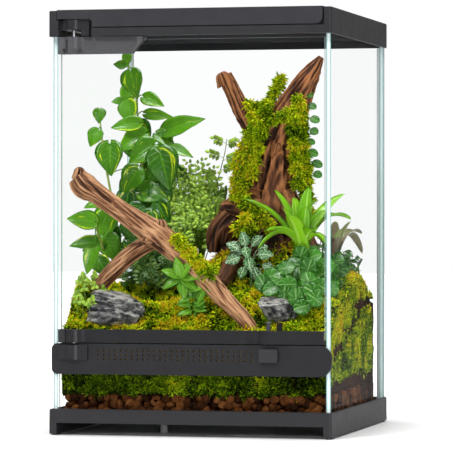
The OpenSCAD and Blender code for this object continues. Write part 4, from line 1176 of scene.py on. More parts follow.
@dataclass
class Driftwood:
    """The fallen branch at the front and the forked stump behind it.

    Runs are rows of x, y, z and radius, and stubs are pairs of tip and root, in millimetres.
    """

    branch_run: Rows = (
        (-134, -110, 274, 10), (-126, -109, 264, 13), (-110, -106, 253, 10.5), (-80, -100, 232, 11),
        (-48, -96, 210, 14), (-22, -96, 190, 12), (2, -99, 168, 11), (28, -106, 143, 9),
        (50, -114, 124, 8), (66, -119, 106, 6))
    fork_run: Rows = (
        (-44, -92, 212, 9), (-76, -86, 194, 9), (-104, -82, 171, 8.5), (-126, -77, 148, 7),
        (-133, -75, 136, 6))
    branch_stubs: Rows = (
        ((-131, -112, 284), (-132, -110, 275)), ((-137, -112, 263), (-130, -110, 264)),
        ((-44, -100, 228), (-44, -97, 214)), ((-60, -110, 204), (-56, -98, 208)),
        ((-20, -98, 203), (-20, -96, 192)), ((26, -110, 152), (24, -105, 146)),
        ((-96, -110, 248), (-92, -104, 242)))
    stump_limbs: Rows = (
        (11, ((44, 20, 180, 40), (44, 20, 212, 34), (48, 20, 245, 28), (51, 20, 275, 25),
         (56, 20, 305, 24), (66, 20, 336, 20), (82, 20, 368, 15), (95, 20, 390, 10), (105, 20, 406, 3.2))),
        (13, ((46, 20, 296, 15), (32, 21, 322, 12), (17, 22, 344, 10), (6, 22, 366, 9), (-4, 21, 387, 8))),
        (15, ((40, 14, 240, 20), (18, 8, 236, 16), (2, 4, 238, 12), (-5, 2, 240, 7))),
        (17, ((10, 4, 232, 13), (-2, 2, 214, 15), (-4, 2, 192, 14))),
        (19, ((62, 12, 250, 18), (80, 4, 226, 14), (94, -6, 204, 10), (104, -12, 186, 8))),
        (21, ((40, -10, 214, 16), (34, -34, 196, 12), (22, -52, 178, 9), (14, -64, 160, 7))))
    stump_stubs: Rows = (
        ((62, -6, 312), (56, 8, 300)), ((40, 0, 330), (36, 14, 322)), ((68, 4, 262), (60, 12, 256)),
        ((30, -6, 262), (38, 8, 258)), ((90, 16, 388), (86, 20, 376)), ((-8, 18, 390), (-3, 20, 380)),
        ((52, -14, 236), (50, 4, 232)), ((74, 10, 322), (66, 16, 318)))
    sides: int = 84

    def limb(self, skin: Skin, points: Sequence, seed: int, depth: float = 0.3, ring: float = 1.6) -> None:
        """Add one grooved limb.

        Args:
            skin: The mesh it goes into.
            points: Control points, each x, y, z and radius, in millimetres.
            seed: Picks the grooves.
            depth: Depth of the grooves, as a share of the radius.
            ring: Distance between rings, in millimetres.
        """
        control = mm(points)
        gaps = np.linalg.norm(np.diff(control[:, :3], axis=0), axis=1).mean()
        path = curve(control, max(3, int(gaps / (ring * MM))))
        tangent, side, up = frames(path[:, :3], np.array([0.1, -1.0, 0.2]))
        walk = np.concatenate([[0], np.cumsum(np.linalg.norm(np.diff(path[:, :3], axis=0), axis=1))]) / MM
        angle = np.arange(self.sides) * math.tau / self.sides
        twist = angle[None] + walk[:, None] * 0.006
        around = np.stack(np.broadcast_arrays(np.cos(twist), np.sin(twist), walk[:, None] * 0.012), -1)
        broad = layered(around * 1.3, 2, seed)
        streaks = 1 - np.abs(layered(around * np.array([4.2, 4.2, 2.2]), 3, seed + 7))
        cracks = np.clip(1 - np.abs(noise(around * np.array([2.4, 2.4, 1.0]), seed + 13)) * 9, 0, 1)
        fine = layered(around * np.array([11, 11, 7]), 2, seed + 19)
        shape = depth * (0.42 * broad + 0.62 * (streaks - 0.62) - 0.5 * cracks + 0.1 * fine)
        radius = path[:, 3:4] * (1 + shape)
        rings = path[:, None, :3] + wheel(side, up, angle) * radius[..., None]
        # The tone follows the carved relief: painted highlight on the ridges, painted shade in the cracks.
        tone = np.clip(0.5 + 0.9 * (streaks - 0.62) - 0.8 * cracks + 0.25 * fine + 0.1 * broad, 0, 1)
        skin.rings(rings, tone)

    def knot(self, skin: Skin, tip: Sequence, root: Sequence, seed: int, wide: float = 7) -> None:
        """Add the stub of a broken branch between two points, in millimetres."""
        a, b = np.array(root, float), np.array(tip, float)
        taper = ((-0.25, 1.15), (0.35, 0.95), (0.8, 0.7), (1, 0.38))
        self.limb(skin, [[*(a + (b - a) * t), wide * w] for t, w in taper], seed, 0.45, 1.0)

    def dress(self) -> None:
        """Build both pieces of wood."""
        arch = Skin()
        self.limb(arch, self.branch_run, 3)
        self.limb(arch, self.fork_run, 5)
        for k, (tip, root) in enumerate(self.branch_stubs):
            self.knot(arch, tip, root, 30 + k)
        finish = Wood("driftwood", (0.012, 0.004, 0.002), (0.21, 0.08, 0.034), (0.64, 0.35, 0.18))
        place(arch.build("fallen_branch", finish.material()), "tank", "driftwood", "driftwood_arch")
        stump = Skin()
        for seed, points in self.stump_limbs:
            self.limb(stump, points, seed, 0.36 if seed == 13 else 0.4)
        for k, (tip, root) in enumerate(self.stump_stubs):
            self.knot(stump, tip, root, 50 + k, 8)
        # The last number darkens the stump's lower part: painted shade.
        finish = Wood("stump wood", (0.009, 0.003, 0.0015), (0.125, 0.042, 0.016), (0.5, 0.2, 0.07), 0.27)
        place(stump.build("forked_stump", finish.material()), "tank", "driftwood_dark", "driftwood_stump")


@dataclass
class Rocks:
    """Two split stones in the moss, each with its solid, its box, its seed and its tilt."""

    stones: Rows = (
        ("left_stone", "rock_left", (-131, -119, 111), (-61, -87, 153), 3, 0.3),
        ("right_stone", "rock_right", (63, -122, 116), (109, -99, 147), 8, -0.2))
    cuts: int = 26

    def stone(self, name: str, node: str, low: Sequence, high: Sequence, seed: int, tilt: float) -> None:
        """Build a stone with flat split faces.

        Args:
            name: The piece's name.
            node: The solid it stands for.
            low: Lowest corner of its box, in millimetres.
            high: Highest corner.
            seed: Picks its facets.
            tilt: How far its ledges lean.
        """
        import bmesh

        ball = bmesh.new()
        bmesh.ops.create_icosphere(ball, subdivisions=6, radius=1)
        shape = np.array([v.co[:] for v in ball.verts])
        faces = np.array([[v.index for v in f.verts] for f in ball.faces])
        ball.free()
        rng = np.random.default_rng(seed)
        reach = np.full(len(shape), 1.32)
        for _ in range(self.cuts):
            normal = unit(rng.normal(0, 1, 3) * np.array([1, 1, 1.3]))
            cut = rng.uniform(0.72, 1.0)
            facing = shape @ normal
            reach = np.where(facing > 0.05, np.minimum(reach, cut / np.maximum(facing, 0.05)), reach)
        ledge = np.abs(((shape[:, 2] * reach + tilt * shape[:, 0]) * 3.2) % 1 - 0.5)
        crack = np.clip(1 - np.abs(noise(shape * np.array([2.2, 2.2, 3.4]), seed + 9)) * 10, 0, 1)
        reach *= 1 + 0.07 * (ledge - 0.25) + 0.05 * layered(shape * 3.1, 4, seed) - 0.06 * crack
        reach *= 1 + 0.03 * layered(shape * 12, 3, seed)
        points = shape * reach[:, None]
        size = (mm(high) - mm(low)) / (points.max(0) - points.min(0))
        points = (points - points.min(0)) * size + mm(low)
        skin = Skin()
        tone = 0.5 + 0.5 * layered(shape * 4, 3, seed + 3)
        skin.add(points, [faces], np.zeros((len(points), 2)), np.clip(tone, 0, 1))
        # The last number makes the stones' upward faces lighter: painted light.
        finish = Grains(f"slate {name}", (
            (0.2, (0.012, 0.012, 0.014)), (0.44, (0.05, 0.05, 0.055)), (0.62, (0.2, 0.197, 0.195)),
            (0.84, (0.58, 0.56, 0.52))), 190, 0.004, 0.75, 0.34)
        place(skin.build(name, finish.material()), "tank", "slate", node)

    def dress(self) -> None:
        """Build both stones."""
        for row in self.stones:
            self.stone(*row)


@dataclass
class Greenery:
    """Every plant that grows out of the moss. The tables are in millimetres and degrees.

    The vine's leaves and the veined leaves are rows of middle, length, width or reach, and tip angle. Tips
    are rows of a place, with a width and a rise where the plant has them.
    """

    vine_runs: Rows = (
        ((-108, 46, 149), (-116, 62, 250), (-121, 68, 310), (-126, 74, 360), (-131, 79, 414)),
        ((-102, 42, 149), (-106, 54, 240), (-110, 60, 300), (-115, 62, 345), (-116, 62, 388)),
        ((-96, 38, 148), (-84, 46, 250), (-76, 54, 300), (-72, 58, 328)),
        ((-112, 20, 145), (-124, 4, 230), (-133, -6, 290), (-137, -12, 334)),
        ((-118, -48, 140), (-120, -56, 190), (-122, -74, 214), (-118, -96, 226)))
    vine_front: Rows = (
        (-131, 80, 408, 14, 10, -90), (-134, 60, 402, 12, 10, 170), (-117, 58, 380, 28, 24, -75),
        (-129, 74, 368, 20, 18, -120), (-137, 60, 361, 11, 9, 180), (-94, 58, 361, 24, 15, -20),
        (-121, 54, 348, 24, 21, -80), (-136, -14, 342, 14, 13, -90), (-122, 44, 334, 30, 16, -172),
        (-88, 58, 345, 30, 12, -6), (-60, 56, 334, 46, 22, 20), (-133, -44, 317, 18, 17, -120),
        (-116, 48, 316, 32, 24, -150), (-80, 58, 318, 24, 16, -30), (-126, -6, 295, 32, 28, -85),
        (-99, 28, 302, 32, 26, -145), (-71, 20, 284, 42, 32, -70), (-58, 46, 304, 26, 12, -20),
        (-109, 20, 272, 28, 25, -120), (-84, 20, 256, 30, 24, -10), (-128, -108, 228, 28, 19, 172),
        (-127, -60, 246, 24, 14, -165), (-120, -44, 222, 28, 26, -100), (-128, -102, 203, 27, 15, -176),
        (-114, -50, 198, 27, 24, -60), (-126, -84, 184, 26, 15, -100))
    vine_back: Rows = (
        (-118, 66, 306, 26, 22, -70), (-100, 66, 278, 30, 25, -110), (-112, 64, 262, 28, 24, -60),
        (-126, 62, 267, 26, 20, -130), (-89, 64, 262, 28, 24, -40), (-77, 60, 250, 26, 22, -80),
        (-95, 60, 233, 28, 24, -100), (-120, 40, 246, 26, 22, -95), (-86, 66, 290, 30, 20, -20),
        (-106, 60, 325, 26, 20, -60), (-129, -30, 232, 26, 20, -140), (-112, -40, 206, 26, 20, -80),
        (-132, -50, 200, 24, 18, 200), (-64, 62, 276, 26, 20, -30), (-118, -60, 176, 24, 18, -50),
        (-98, -6, 214, 28, 24, -60), (-84, 4, 222, 28, 24, -100), (-104, 6, 232, 26, 22, -130),
        (-70, 10, 234, 26, 22, -60), (-112, -20, 190, 26, 22, -100), (-88, -10, 196, 26, 22, -40),
        (-76, 24, 250, 28, 24, -80), (-92, 30, 246, 28, 24, -120))
    frond_tips: Rows = (
        (-66, 44, 252, 14), (-58, 48, 282, 8), (-44, 46, 292, 4), (-30, 44, 284, 4), (-16, 40, 262, 10),
        (-52, 10, 234, 18), (-24, 4, 230, 18), (-8, 20, 236, 16), (-72, 26, 222, 16), (-40, 20, 250, 10),
        (-2, 34, 214, 18), (-60, 12, 206, 20), (-52, 30, 268, 8), (-24, 30, 270, 6), (-68, 14, 236, 16),
        (-34, 0, 222, 18), (-16, 16, 248, 12), (-46, -6, 212, 20), (-10, 2, 206, 20), (-74, 6, 202, 20),
        (-38, 44, 274, 4), (-84, 20, 192, 20), (-100, -10, 182, 22), (-66, -20, 186, 22))
    shaded_tips: Rows = (
        (-90, -30, 192), (-76, -34, 186), (-64, -30, 194), (-52, -34, 186), (-40, -30, 180),
        (-78, -44, 172), (-58, -46, 168), (-94, -26, 178), (-46, -20, 198), (-30, -36, 170),
        (-100, -16, 194), (-84, -14, 200), (-108, -36, 172), (-68, -52, 160))
    sprig_twigs: Rows = (
        (318, -1, 14), (316, 1, 12), (302, -1, 17), (299, 1, 16), (288, 1, 15), (282, -1, 15),
        (262, -1, 16), (256, 1, 14), (240, -1, 14))
    centre_heads: Rows = (
        ((-20, 166), (8, 60, 100, 150, 205, 330, 285), 23), ((5, 157), (-8, 55, 190, 100, 250), 19))
    centre_low: Rows = (
        (150, 200), (143, -12), (148, 120), (138, 30), (140, 170), (146, 60), (136, 0), (134, 190))
    veined_rows: Rows = (
        (40, 206, 100, 17, 4), (29, 199, 150, 17, 5), (52, 205, 45, 16, 3), (43, 194, -70, 14, 9),
        (28, 186, 200, 18, 6), (46, 182, -75, 17, 9), (62, 191, 0, 18, 6), (54, 171, -60, 17, 9),
        (58, 198, 20, 13, 1), (34, 194, 170, 12, 2), (38, 172, -110, 14, 6), (66, 178, -20, 15, 6))
    round_rows: Rows = (
        (93, -104, 177), (88, -108, 166), (98, -112, 160), (80, -112, 156), (117, -100, 177),
        (119, -108, 163), (119, -90, 189), (106, -90, 190), (94, -114, 149), (107, -116, 146),
        (128, -116, 145), (115, -118, 137), (134, -44, 184), (136, -30, 174), (134, -64, 172),
        (135, -70, 155), (132, -60, 160), (128, -86, 170), (108, -100, 168), (130, -100, 158),
        (70, -108, 160), (100, -96, 182), (124, -112, 153), (86, -100, 172), (76, -104, 168),
        (110, -108, 155), (130, -76, 180), (112, -112, 150))
    lime_tips: Rows = (
        (40, -74, 250, 12, 16), (72, -66, 260, 13, 10), (108, -56, 263, 13, 6), (138, -10, 256, 13, 14),
        (141, 6, 228, 12, 26), (60, -92, 196, 12, 26), (72, -100, 216, 12, 16), (98, -112, 232, 14, 10),
        (124, -96, 216, 12, 14), (124, -50, 238, 12, 12), (86, -84, 240, 12, 6), (134, -76, 196, 12, 22),
        (112, -88, 242, 12, 8), (92, -60, 252, 12, 8), (116, -66, 250, 11, 6))
    wine_tips: Rows = (
        (136, 30, 226, 9, 10), (138, 84, 190, 10, 36), (141, 66, 212, 10, 24), (100, 6, 212, 10, 10),
        (116, 44, 226, 10, 8), (128, -14, 208, 9, 12), (96, 40, 198, 9, 14), (130, 10, 218, 9, 8))
    stump_cushions: Rows = (
        (26, 14, 354, 4), (33, 14, 350, 5), (40, 14, 347, 5), (46, 13, 353, 5), (51, 12, 361, 4),
        (55, 12, 369, 4), (59, 12, 376, 4), (62, 12, 382, 3), (32, 10, 341, 6), (39, 6, 338, 6),
        (45, 2, 344, 5), (49, 3, 352, 4), (36, 4, 328, 6), (43, -1, 331, 5), (52, -2, 336, 4),
        (60, -3, 338, 4), (68, -2, 341, 4), (76, 0, 345, 4), (30, 0, 318, 6), (37, -3, 320, 6),
        (44, -5, 322, 4), (26, -2, 308, 6), (33, -5, 306, 6), (40, -6, 305, 5), (22, -3, 297, 7),
        (29, -6, 295, 7), (36, -8, 292, 6), (19, -4, 284, 7), (26, -7, 281, 7), (33, -9, 278, 6),
        (17, -5, 270, 7), (24, -8, 267, 7), (16, -6, 256, 6), (23, -10, 253, 6))
    rng: np.random.Generator = field(default_factory=lambda: np.random.default_rng(5))

    @staticmethod
    def heading(turn: float, ahead: float) -> Array:
        """Return the direction at turn radians in the X-Z plane that leans ahead towards the door."""
        return np.array([math.cos(turn), -ahead, math.sin(turn)])

    def jog(self, *spans: tuple[float, float]) -> Array:
        """Return one random number for each span, in millimetres turned into metres."""
        return np.array([self.rng.uniform(*span) for span in spans]) * MM

    def front_leaf(self, bed: Foliage, centre: Array, length: float, width: float, angle: float, lean: float,
                   **looks: float) -> Array:
        """Add a leaf that faces the front.

        Args:
            bed: The leaves it joins.
            centre: Middle of the blade, in metres.
            length: Length of the blade.
            width: Width of the blade.
            angle: Direction of its tip in the X-Z plane, in degrees.
            lean: How far the tip comes forward.
            **looks: Fold, droop, wave and tone.

        Returns:
            The point where the blade meets its stalk.
        """
        d = unit(self.heading(math.radians(angle), lean))
        base = centre - d * (0.45 * length)
        face = np.array([self.rng.uniform(-0.2, 0.35), -1, self.rng.uniform(0.15, 0.7)])
        bed.leaf(base, d, face, length, width, **looks)
        return base

    def show(self, name: str, bed: Foliage, finish: Leaf, slot: str, node: str) -> None:
        """Grow the collected leaves and put the plant in its solid's place.

        Args:
            name: The piece's name.
            bed: Its leaves, with their skin.
            finish: What the leaves look like.
            slot: The material slot; not used.
            node: The solid that it stands for.
        """
        bed.grow()
        place(bed.skin.build(name, finish.material()), "tank", slot, node)

    def stalk(
        self, skin: Skin, a: Array, b: Array, radius: float, sag: float = 0.0, tone: float = 0.5
    ) -> None:
        """Add a thin stalk from a to b that sags by sag."""
        t = np.linspace(0, 1, 7)[:, None]
        path = a + (b - a) * t + UP * (-sag * 4 * t * (1 - t))
        skin.tube(path, np.linspace(radius, radius * 0.7, 7), 6, tone)

    def pothos(self) -> None:
        """Build the climbing vine on the left with its heart-shaped leaves."""
        runs = [curve(mm(p), 8) for p in self.vine_runs]
        stems = Skin()
        for run in runs:
            stems.tube(run, np.linspace(1.7, 1.0, len(run)) * MM, 8, 0.6)
        nodes = np.vstack(runs)
        leaves = Skin()
        bed = Foliage(leaves, LeafForm.HEART, 14, 9, 0.5 * MM)
        rows = self.vine_front + self.vine_back
        for row, (x, y, z, length, width, angle) in enumerate(rows):
            centre = mm((x, y - 6, z))
            # Leaves from the back rows get a low tone: painted shade.
            shade = self.rng.uniform(0.2, 0.95) if row < len(self.vine_front) else self.rng.uniform(0, 0.3)
            base = self.front_leaf(bed, centre, length * 1.06 * MM, width * 1.2 * MM, angle, 0.25, fold=0.28,
                                   droop=0.16, wave=0.03, tone=shade)
            near = nodes[np.argmin(np.linalg.norm(nodes - base, axis=1))]
            self.stalk(leaves, near, base, 0.8 * MM, -4 * MM, 0.8)
        stem = Leaf("vine stem", (0.13, 0.2, 0.03), (0.32, 0.4, 0.09), (0.4, 0.42, 0.12), Veins.RIBBED)
        place(stems.build("vine_stems", stem.material()), "tank", "stem_green", "pothos_stems")
        finish = Leaf("heart leaf", (0.01, 0.075, 0.003), (0.11, 0.34, 0.008), (0.55, 0.7, 0.01),
                      Veins.SPLASHED, 0.24)
        self.show("vine_leaves", bed, finish, "leaf_pothos", "pothos_leaves")

    def frond(self, skin: Skin, bed: Foliage, a: Array, b: Array, rise: float, leaflet: float, pairs: int,
              shade: float = 0.6) -> None:
        """Add an arching frond with paired leaflets.

        Args:
            skin: The mesh of the rib.
            bed: The leaves that the leaflets join.
            a: Foot of the rib.
            b: Its tip.
            rise: How high it arches over the straight line.
            leaflet: Length of the longest leaflets.
            pairs: Pairs of leaflets.
            shade: Middle tone of the leaflets.
        """
        t = np.linspace(0, 1, 16)[:, None]
        path = a + (b - a) * t + UP * (rise * 4 * t * (1 - t))
        skin.tube(path, np.linspace(0.7, 0.25, 16) * MM, 5, 0.4)
        for k in range(pairs):
            u = 0.24 + 0.76 * (k + 0.5) / pairs
            at = a + (b - a) * u + UP * (rise * 4 * u * (1 - u))
            run = unit(b - a + UP * (rise * 4 * (1 - 2 * u)))
            side = unit(np.cross(run, np.array([0.1, -1, 0.35])))
            size = leaflet * math.sin(math.pi * (0.18 + 0.8 * (1 - u) ** 0.8)) ** 0.8
            for sign in (-1, 1):
                reach = unit(side * sign + run * 0.55)
                for j in range(4):
                    v = 0.3 + 0.7 * j / 3
                    foot = at + reach * size * v
                    out = np.cross(reach, FRONT) * ((j % 2) * 2 - 1) * (j < 3)
                    lean = unit(reach * (0.5 + 0.5 * (j == 3)) + out)
                    bed.leaf(foot, lean, np.array([0.1, -1, 0.5]), size * 0.42, size * 0.3, fold=0.15,
                             droop=0.1, tone=shade + self.rng.uniform(-0.35, 0.4))
                self.stalk(skin, at, at + reach * size, 0.25 * MM, 0.0, 0.5)

    def ferns(self) -> None:
        """Build the feathery clump, the tall sprig and the small clover at the left."""
        skin = Skin()
        bed = Foliage(skin, LeafForm.OVAL, 5, 3, 0.25 * MM)
        base = mm((-36, 40, 167))
        for x, y, z, rise in self.frond_tips:
            self.frond(skin, bed, base, mm((x, y, z)), rise * MM, 16 * MM, 11)
        # The fronds under the arch of the branch get a low tone: painted shade.
        shaded = mm((-64, -4, 150))
        for x, y, z in self.shaded_tips:
            self.frond(skin, bed, shaded, mm((x, y, z)), 12 * MM, 18 * MM, 9, -0.15)
        green = Leaf("fern leaf", (0.02, 0.1, 0.008), (0.52, 0.82, 0.07), (0.5, 0.75, 0.16), rough=0.42)
        self.show("ferns", bed, green, "leaf_fern", "fern_clump")
        skin = Skin()
        bed = Foliage(skin, LeafForm.OVAL, 6, 3, 0.25 * MM)
        stem = curve(mm([[-38, 52, 164], [-32, 58, 230], [-22, 60, 270], [-14, 60, 300], [-11, 60, 318]]), 8)
        skin.tube(stem, np.linspace(0.9, 0.4, len(stem)) * MM, 6, 0.4)
        for z, side, length in self.sprig_twigs:
            foot = stem[np.argmin(np.abs(stem[:, 2] - z * MM + 6 * MM))]
            reach = unit(np.array([side, self.rng.uniform(-0.6, -0.1), 0.42]))
            self.stalk(skin, foot, foot + reach * length * MM, 0.35 * MM)
            for j, share in enumerate((0.35, 0.6, 0.82, 1.0)):
                at = foot + reach * length * share * MM
                for turn in (-1, 1) if j < 3 else (0,):
                    bed.leaf(at, unit(reach * 0.6 + UP * turn), np.array([0.1, -1, 0.5]), 6.2 * MM, 4.6 * MM,
                             tone=self.rng.uniform(0.3, 1))
        self.show("tall_sprig_leaves", bed, green, "leaf_fern", "tall_sprig")
        skin = Skin()
        bed = Foliage(skin, LeafForm.DISC, 5, 3, 0.25 * MM)
        for _ in range(26):
            x, y = self.rng.uniform(-139, -112) * MM, self.rng.uniform(-114, -74) * MM
            foot = np.array([x, y, float(ground(x, y)) - 6 * MM])
            head = foot + self.jog((-3, 3), (-4, 1), (12, 28))
            self.stalk(skin, foot, head, 0.35 * MM)
            for j in range(3):
                a = math.radians(90 + 120 * j + self.rng.uniform(-20, 20))
                bed.leaf(head, self.heading(a, 0.35), np.array([0.1, -1, 0.6]), 5.5 * MM, 5 * MM,
                         tone=self.rng.uniform(0.4, 1))
        self.show("clover", bed, green, "leaf_fern", "clover_clump")

    def centre(self) -> None:
        """Build the small plant in front of the branch and the white-veined one beside it."""
        skin = Skin()
        bed = Foliage(skin, LeafForm.OVAL, 10, 5, 0.35 * MM)
        root = mm((-9, -102, 118))
        for (x, z), angles, size in self.centre_heads:
            head = mm((x, -106, z))
            stem = curve(np.array([root, mm((x * 0.6 - 2, -104, 145)), head]), 6)
            skin.tube(stem, np.linspace(1.5, 0.8, len(stem)) * MM, 6, 0.6)
            for a in angles:
                bed.leaf(head, self.heading(math.radians(a), 0.35), np.array([0.05, -1, 0.8]),
                         size * MM, size * 0.56 * MM, fold=0.3, droop=0.22, tone=self.rng.uniform(0.3, 1))
        for z, a in self.centre_low:
            bed.leaf(mm((-8, -104, z - 3)), self.heading(math.radians(a), 0.4), np.array([0.05, -1, 0.7]),
                     17 * MM, 9 * MM, tone=self.rng.uniform(0.1, 0.9))
        finish = Leaf("oval leaf", (0.03, 0.17, 0.005), (0.16, 0.42, 0.015), (0.34, 0.6, 0.08), rough=0.28)
        self.show("centre_leaves", bed, finish, "leaf_mid", "centre_plant")
        skin = Skin()
        bed = Foliage(skin, LeafForm.OVAL, 10, 5, 0.35 * MM)
        head = mm((44, -64, 190))
        self.stalk(skin, mm((46, -58, 148)), head, 1.4 * MM)
        for x, z, angle, length, ahead in self.veined_rows:
            centre = mm((x, -64 - ahead, z))
            base = self.front_leaf(bed, centre, length * MM, length * 0.78 * MM, angle, 0.3, fold=0.12,
                                   droop=0.2, wave=0.04, tone=self.rng.uniform(0, 0.8))
            self.stalk(skin, head - UP * 10 * MM, base, 0.6 * MM)
        finish = Leaf("white-veined leaf", (0.012, 0.085, 0.01), (0.05, 0.23, 0.03), (0.62, 0.78, 0.56),
                      Veins.NETTED, 0.4)
        self.show("veined_leaves", bed, finish, "leaf_veined", "fittonia")

    def round_leaves(self) -> None:
        """Build the round-leaved cover at the right, the vine on the stump and the sprig on the side."""
        skin = Skin()
        bed = Foliage(skin, LeafForm.DISC, 10, 7, 0.35 * MM)
        for x, y, z in self.round_rows:
            fx, fy = (x * 0.4 + 63) * MM, (y * 0.5 - 42) * MM
            foot = np.array([fx, fy, float(ground(fx, fy)) - 5 * MM])
            turn = self.rng.uniform(-60, 240)
            base = self.front_leaf(bed, mm((x, y, z)), 19 * MM, 19 * MM, turn, 0.25, fold=0.12,
                                   droop=0.14, wave=0.02, tone=self.rng.uniform(0.2, 1))
            self.stalk(skin, foot, base, 0.7 * MM, -3 * MM)
        finish = Leaf("round leaf", (0.008, 0.075, 0.004), (0.05, 0.23, 0.014), (0.24, 0.46, 0.13),
                      Veins.RADIAL, 0.28)
        self.show("round_leaves", bed, finish, "leaf_mid", "round_leaf_plant")
        skin = Skin()
        bed = Foliage(skin, LeafForm.DISC, 8, 5, 0.3 * MM)
        run = curve(mm([[84, 16, 366], [91, 12, 345], [92, 10, 325], [88, 9, 308], [94, 10, 290],
                        [96, 10, 274]]), 6)
        skin.tube(run, 0.8 * MM, 6, 0.4)
        for k in range(0, len(run), 2):
            r = math.radians(10 if k % 4 == 0 else 150)
            at = run[k] + self.heading(r, 0.6) * 4 * MM
            self.stalk(skin, run[k], at, 0.5 * MM)
            bed.leaf(at, self.heading(r - 0.5, 0.3), np.array([0.1, -1, 0.5]), *self.jog((9, 12.5), (8, 11)),
                     tone=self.rng.uniform(0.2, 1))
        self.show("stump_leaves", bed, finish, "leaf_mid", "stump_vine")
        skin = Skin()
        bed = Foliage(skin, LeafForm.OVAL, 8, 5, 0.3 * MM)
        run = curve(mm([[128, 34, 140], [132, 48, 160], [137, 66, 176], [139, 76, 184]]), 6)
        skin.tube(run, 1.1 * MM, 6, 0.4)
        for k in range(5, len(run), 2):
            for sign in (-1, 1):
                bed.leaf(run[k], np.array([-0.3 * sign - 0.3, sign, 0.35]), np.array([0.6, -0.4, 0.8]),
                         17 * MM, 8 * MM, tone=self.rng.uniform(0.1, 0.8))
        for _ in range(150):
            x, y = self.rng.uniform(100, 140) * MM, self.rng.uniform(-70, 88) * MM
            foot = np.array([x, y, float(ground(x, y)) - 6 * MM])
            head = foot + self.jog((-4, 5), (-5, 5), (10, 34))
            head[0] = min(head[0], 136 * MM)
            self.stalk(skin, foot, head, 0.5 * MM)
            a = self.rng.uniform(0, math.tau)
            bed.leaf(head, np.array([math.cos(a) * 0.6, math.sin(a), 0.15]), np.array([0.5, -0.5, 0.8]),
                     10 * MM, 6.5 * MM, fold=0.2, droop=0.3, tone=self.rng.uniform(0, 0.9))
        self.show("side_leaves", bed, finish, "leaf_mid", "side_sprig")

    def straps(self, bed: Foliage, crown: Array, tips: Sequence, tone: float) -> None:
        """Add the long leaves of a rosette.

        Args:
            bed: The leaves they join, made here along their own arch.
            crown: Where the leaves meet, in metres.
            tips: Rows of tip x, y, z, width and rise, in millimetres.
            tone: Middle tone of the rosette.
        """
        rings, across = 22, 7
        v = np.linspace(-1, 1, across)
        lane = np.concatenate([v, v[-2:0:-1]])
        under = np.concatenate([np.zeros(across), np.ones(across - 2)])
        for x, y, z, width, rise in tips:
            tip = mm((x, y, z))
            u = np.linspace(0, 1, rings)
            arch = rise * MM * 4 * u * (1 - u) * (1 - 0.4 * u)
            path = crown + (tip - crown) * u[:, None] + UP * arch[:, None]
            tangent = unit(np.gradient(path, axis=0))
            side = unit(np.cross(tangent, UP))
            up = np.cross(side, tangent)
            half = LeafForm.STRAP.half(u) * width * MM * 1.45
            back = under[None] * 0.6 * MM * (1 - 0.7 * u)[:, None]
            cup = (0.5 * np.abs(lane)[None] ** 1.4 * half[:, None]) - back
            across_half = side[:, None] * (lane[None] * half[:, None])[..., None]
            points = path[:, None] + across_half + up[:, None] * cup[..., None]
            n = len(lane)
            maps = np.stack(np.broadcast_arrays(u[:, None], lane[None] * 0.5 + 0.5), -1).reshape(-1, 2)
            faces = [bands(rings, n)[:, [0, 3, 2, 1]], np.arange(n)[None],
                     (np.arange(n)[::-1] + (rings - 1) * n)[None]]
            bed.skin.add(points.reshape(-1, 3), faces, maps,
                         np.clip(tone + self.rng.uniform(-0.3, 0.3), 0, 1))

    def rosettes(self) -> None:
        """Build the two rosettes of long leaves at the right."""
        skin = Skin()
        bed = Foliage(skin, LeafForm.STRAP, 4, 3)
        crown = mm((104, -72, 190))
        self.straps(bed, crown, self.lime_tips, 0.6)
        skin.tube(np.array([mm((104, -72, 146)), crown + UP * 4 * MM]), np.array([8, 6]) * MM, 14, 0.3)
        finish = Leaf("lime strap", (0.05, 0.27, 0.003), (0.28, 0.6, 0.01), (0.42, 0.72, 0.1),
                      Veins.RIBBED, 0.22, 0.1)
        self.show("lime_rosette", bed, finish, "leaf_bromeliad", "bromeliad")
        skin = Skin()
        bed = Foliage(skin, LeafForm.STRAP, 4, 3)
        crown = mm((118, 18, 174))
        self.straps(bed, crown, self.wine_tips, 0.4)
        skin.tube(np.array([mm((118, 18, 158)), crown + UP * 4 * MM]), np.array([6, 5]) * MM, 12, 0.3)
        finish = Leaf("wine strap", (0.14, 0.09, 0.07), (0.3, 0.46, 0.1), (0.3, 0.14, 0.13),
                      Veins.RIBBED, 0.3, 0.1)
        self.show("wine_rosette", bed, finish, "leaf_red", "red_bromeliad")

    def wood_moss(self, beds: Substrate) -> None:
        """Grow moss cushions on the branch and the stump.

        Args:
            beds: The substrate, whose sprigs are used here too.
        """
        branch = [(-26 + k * 4.6, -103 - k * 0.5, 206 - k * 4.4, 5.0) for k in range(9)]
        stump = list(self.stump_cushions)
        stump += [(83 + k * 0.8, 6 + 2 * (k % 2), 358 - k * 10, 6) for k in range(14)]
        stump += [(78 + k * 1.2, -2, 338 - k * 14, 5) for k in range(6)]
        stump += [(36, -38, 243, 6), (44, -36, 237, 6), (50, -34, 230, 6), (35, -44, 228, 6),
                  (30, -48, 219, 6), (40, -42, 217, 6), (58, -30, 221, 6)]
        for name, node, spots in (("branch_moss", "arch_moss", branch),
                                  ("stump_moss_cushions", "stump_moss", stump)):
            skin = Skin()
            for x, y, z, r in spots:
                count = int(r * 11)
                out = unit(self.rng.normal(0, 1, (count, 3)) + np.array([0, -0.8, 0.3]))
                reach = out * np.array([1, 0.7, 1]) * r * MM * self.rng.uniform(0.6, 1.0, (count, 1))
                beds.sprigs(skin, mm((x, y, z)) + reach, out, 7 * MM, 0.7, self.rng.uniform(-0.12, 0.2))
            finish = MossFinish(f"{name} green", MOSS_STOPS)
            place(skin.build(name, finish.material()), "tank", "moss_bright", node)

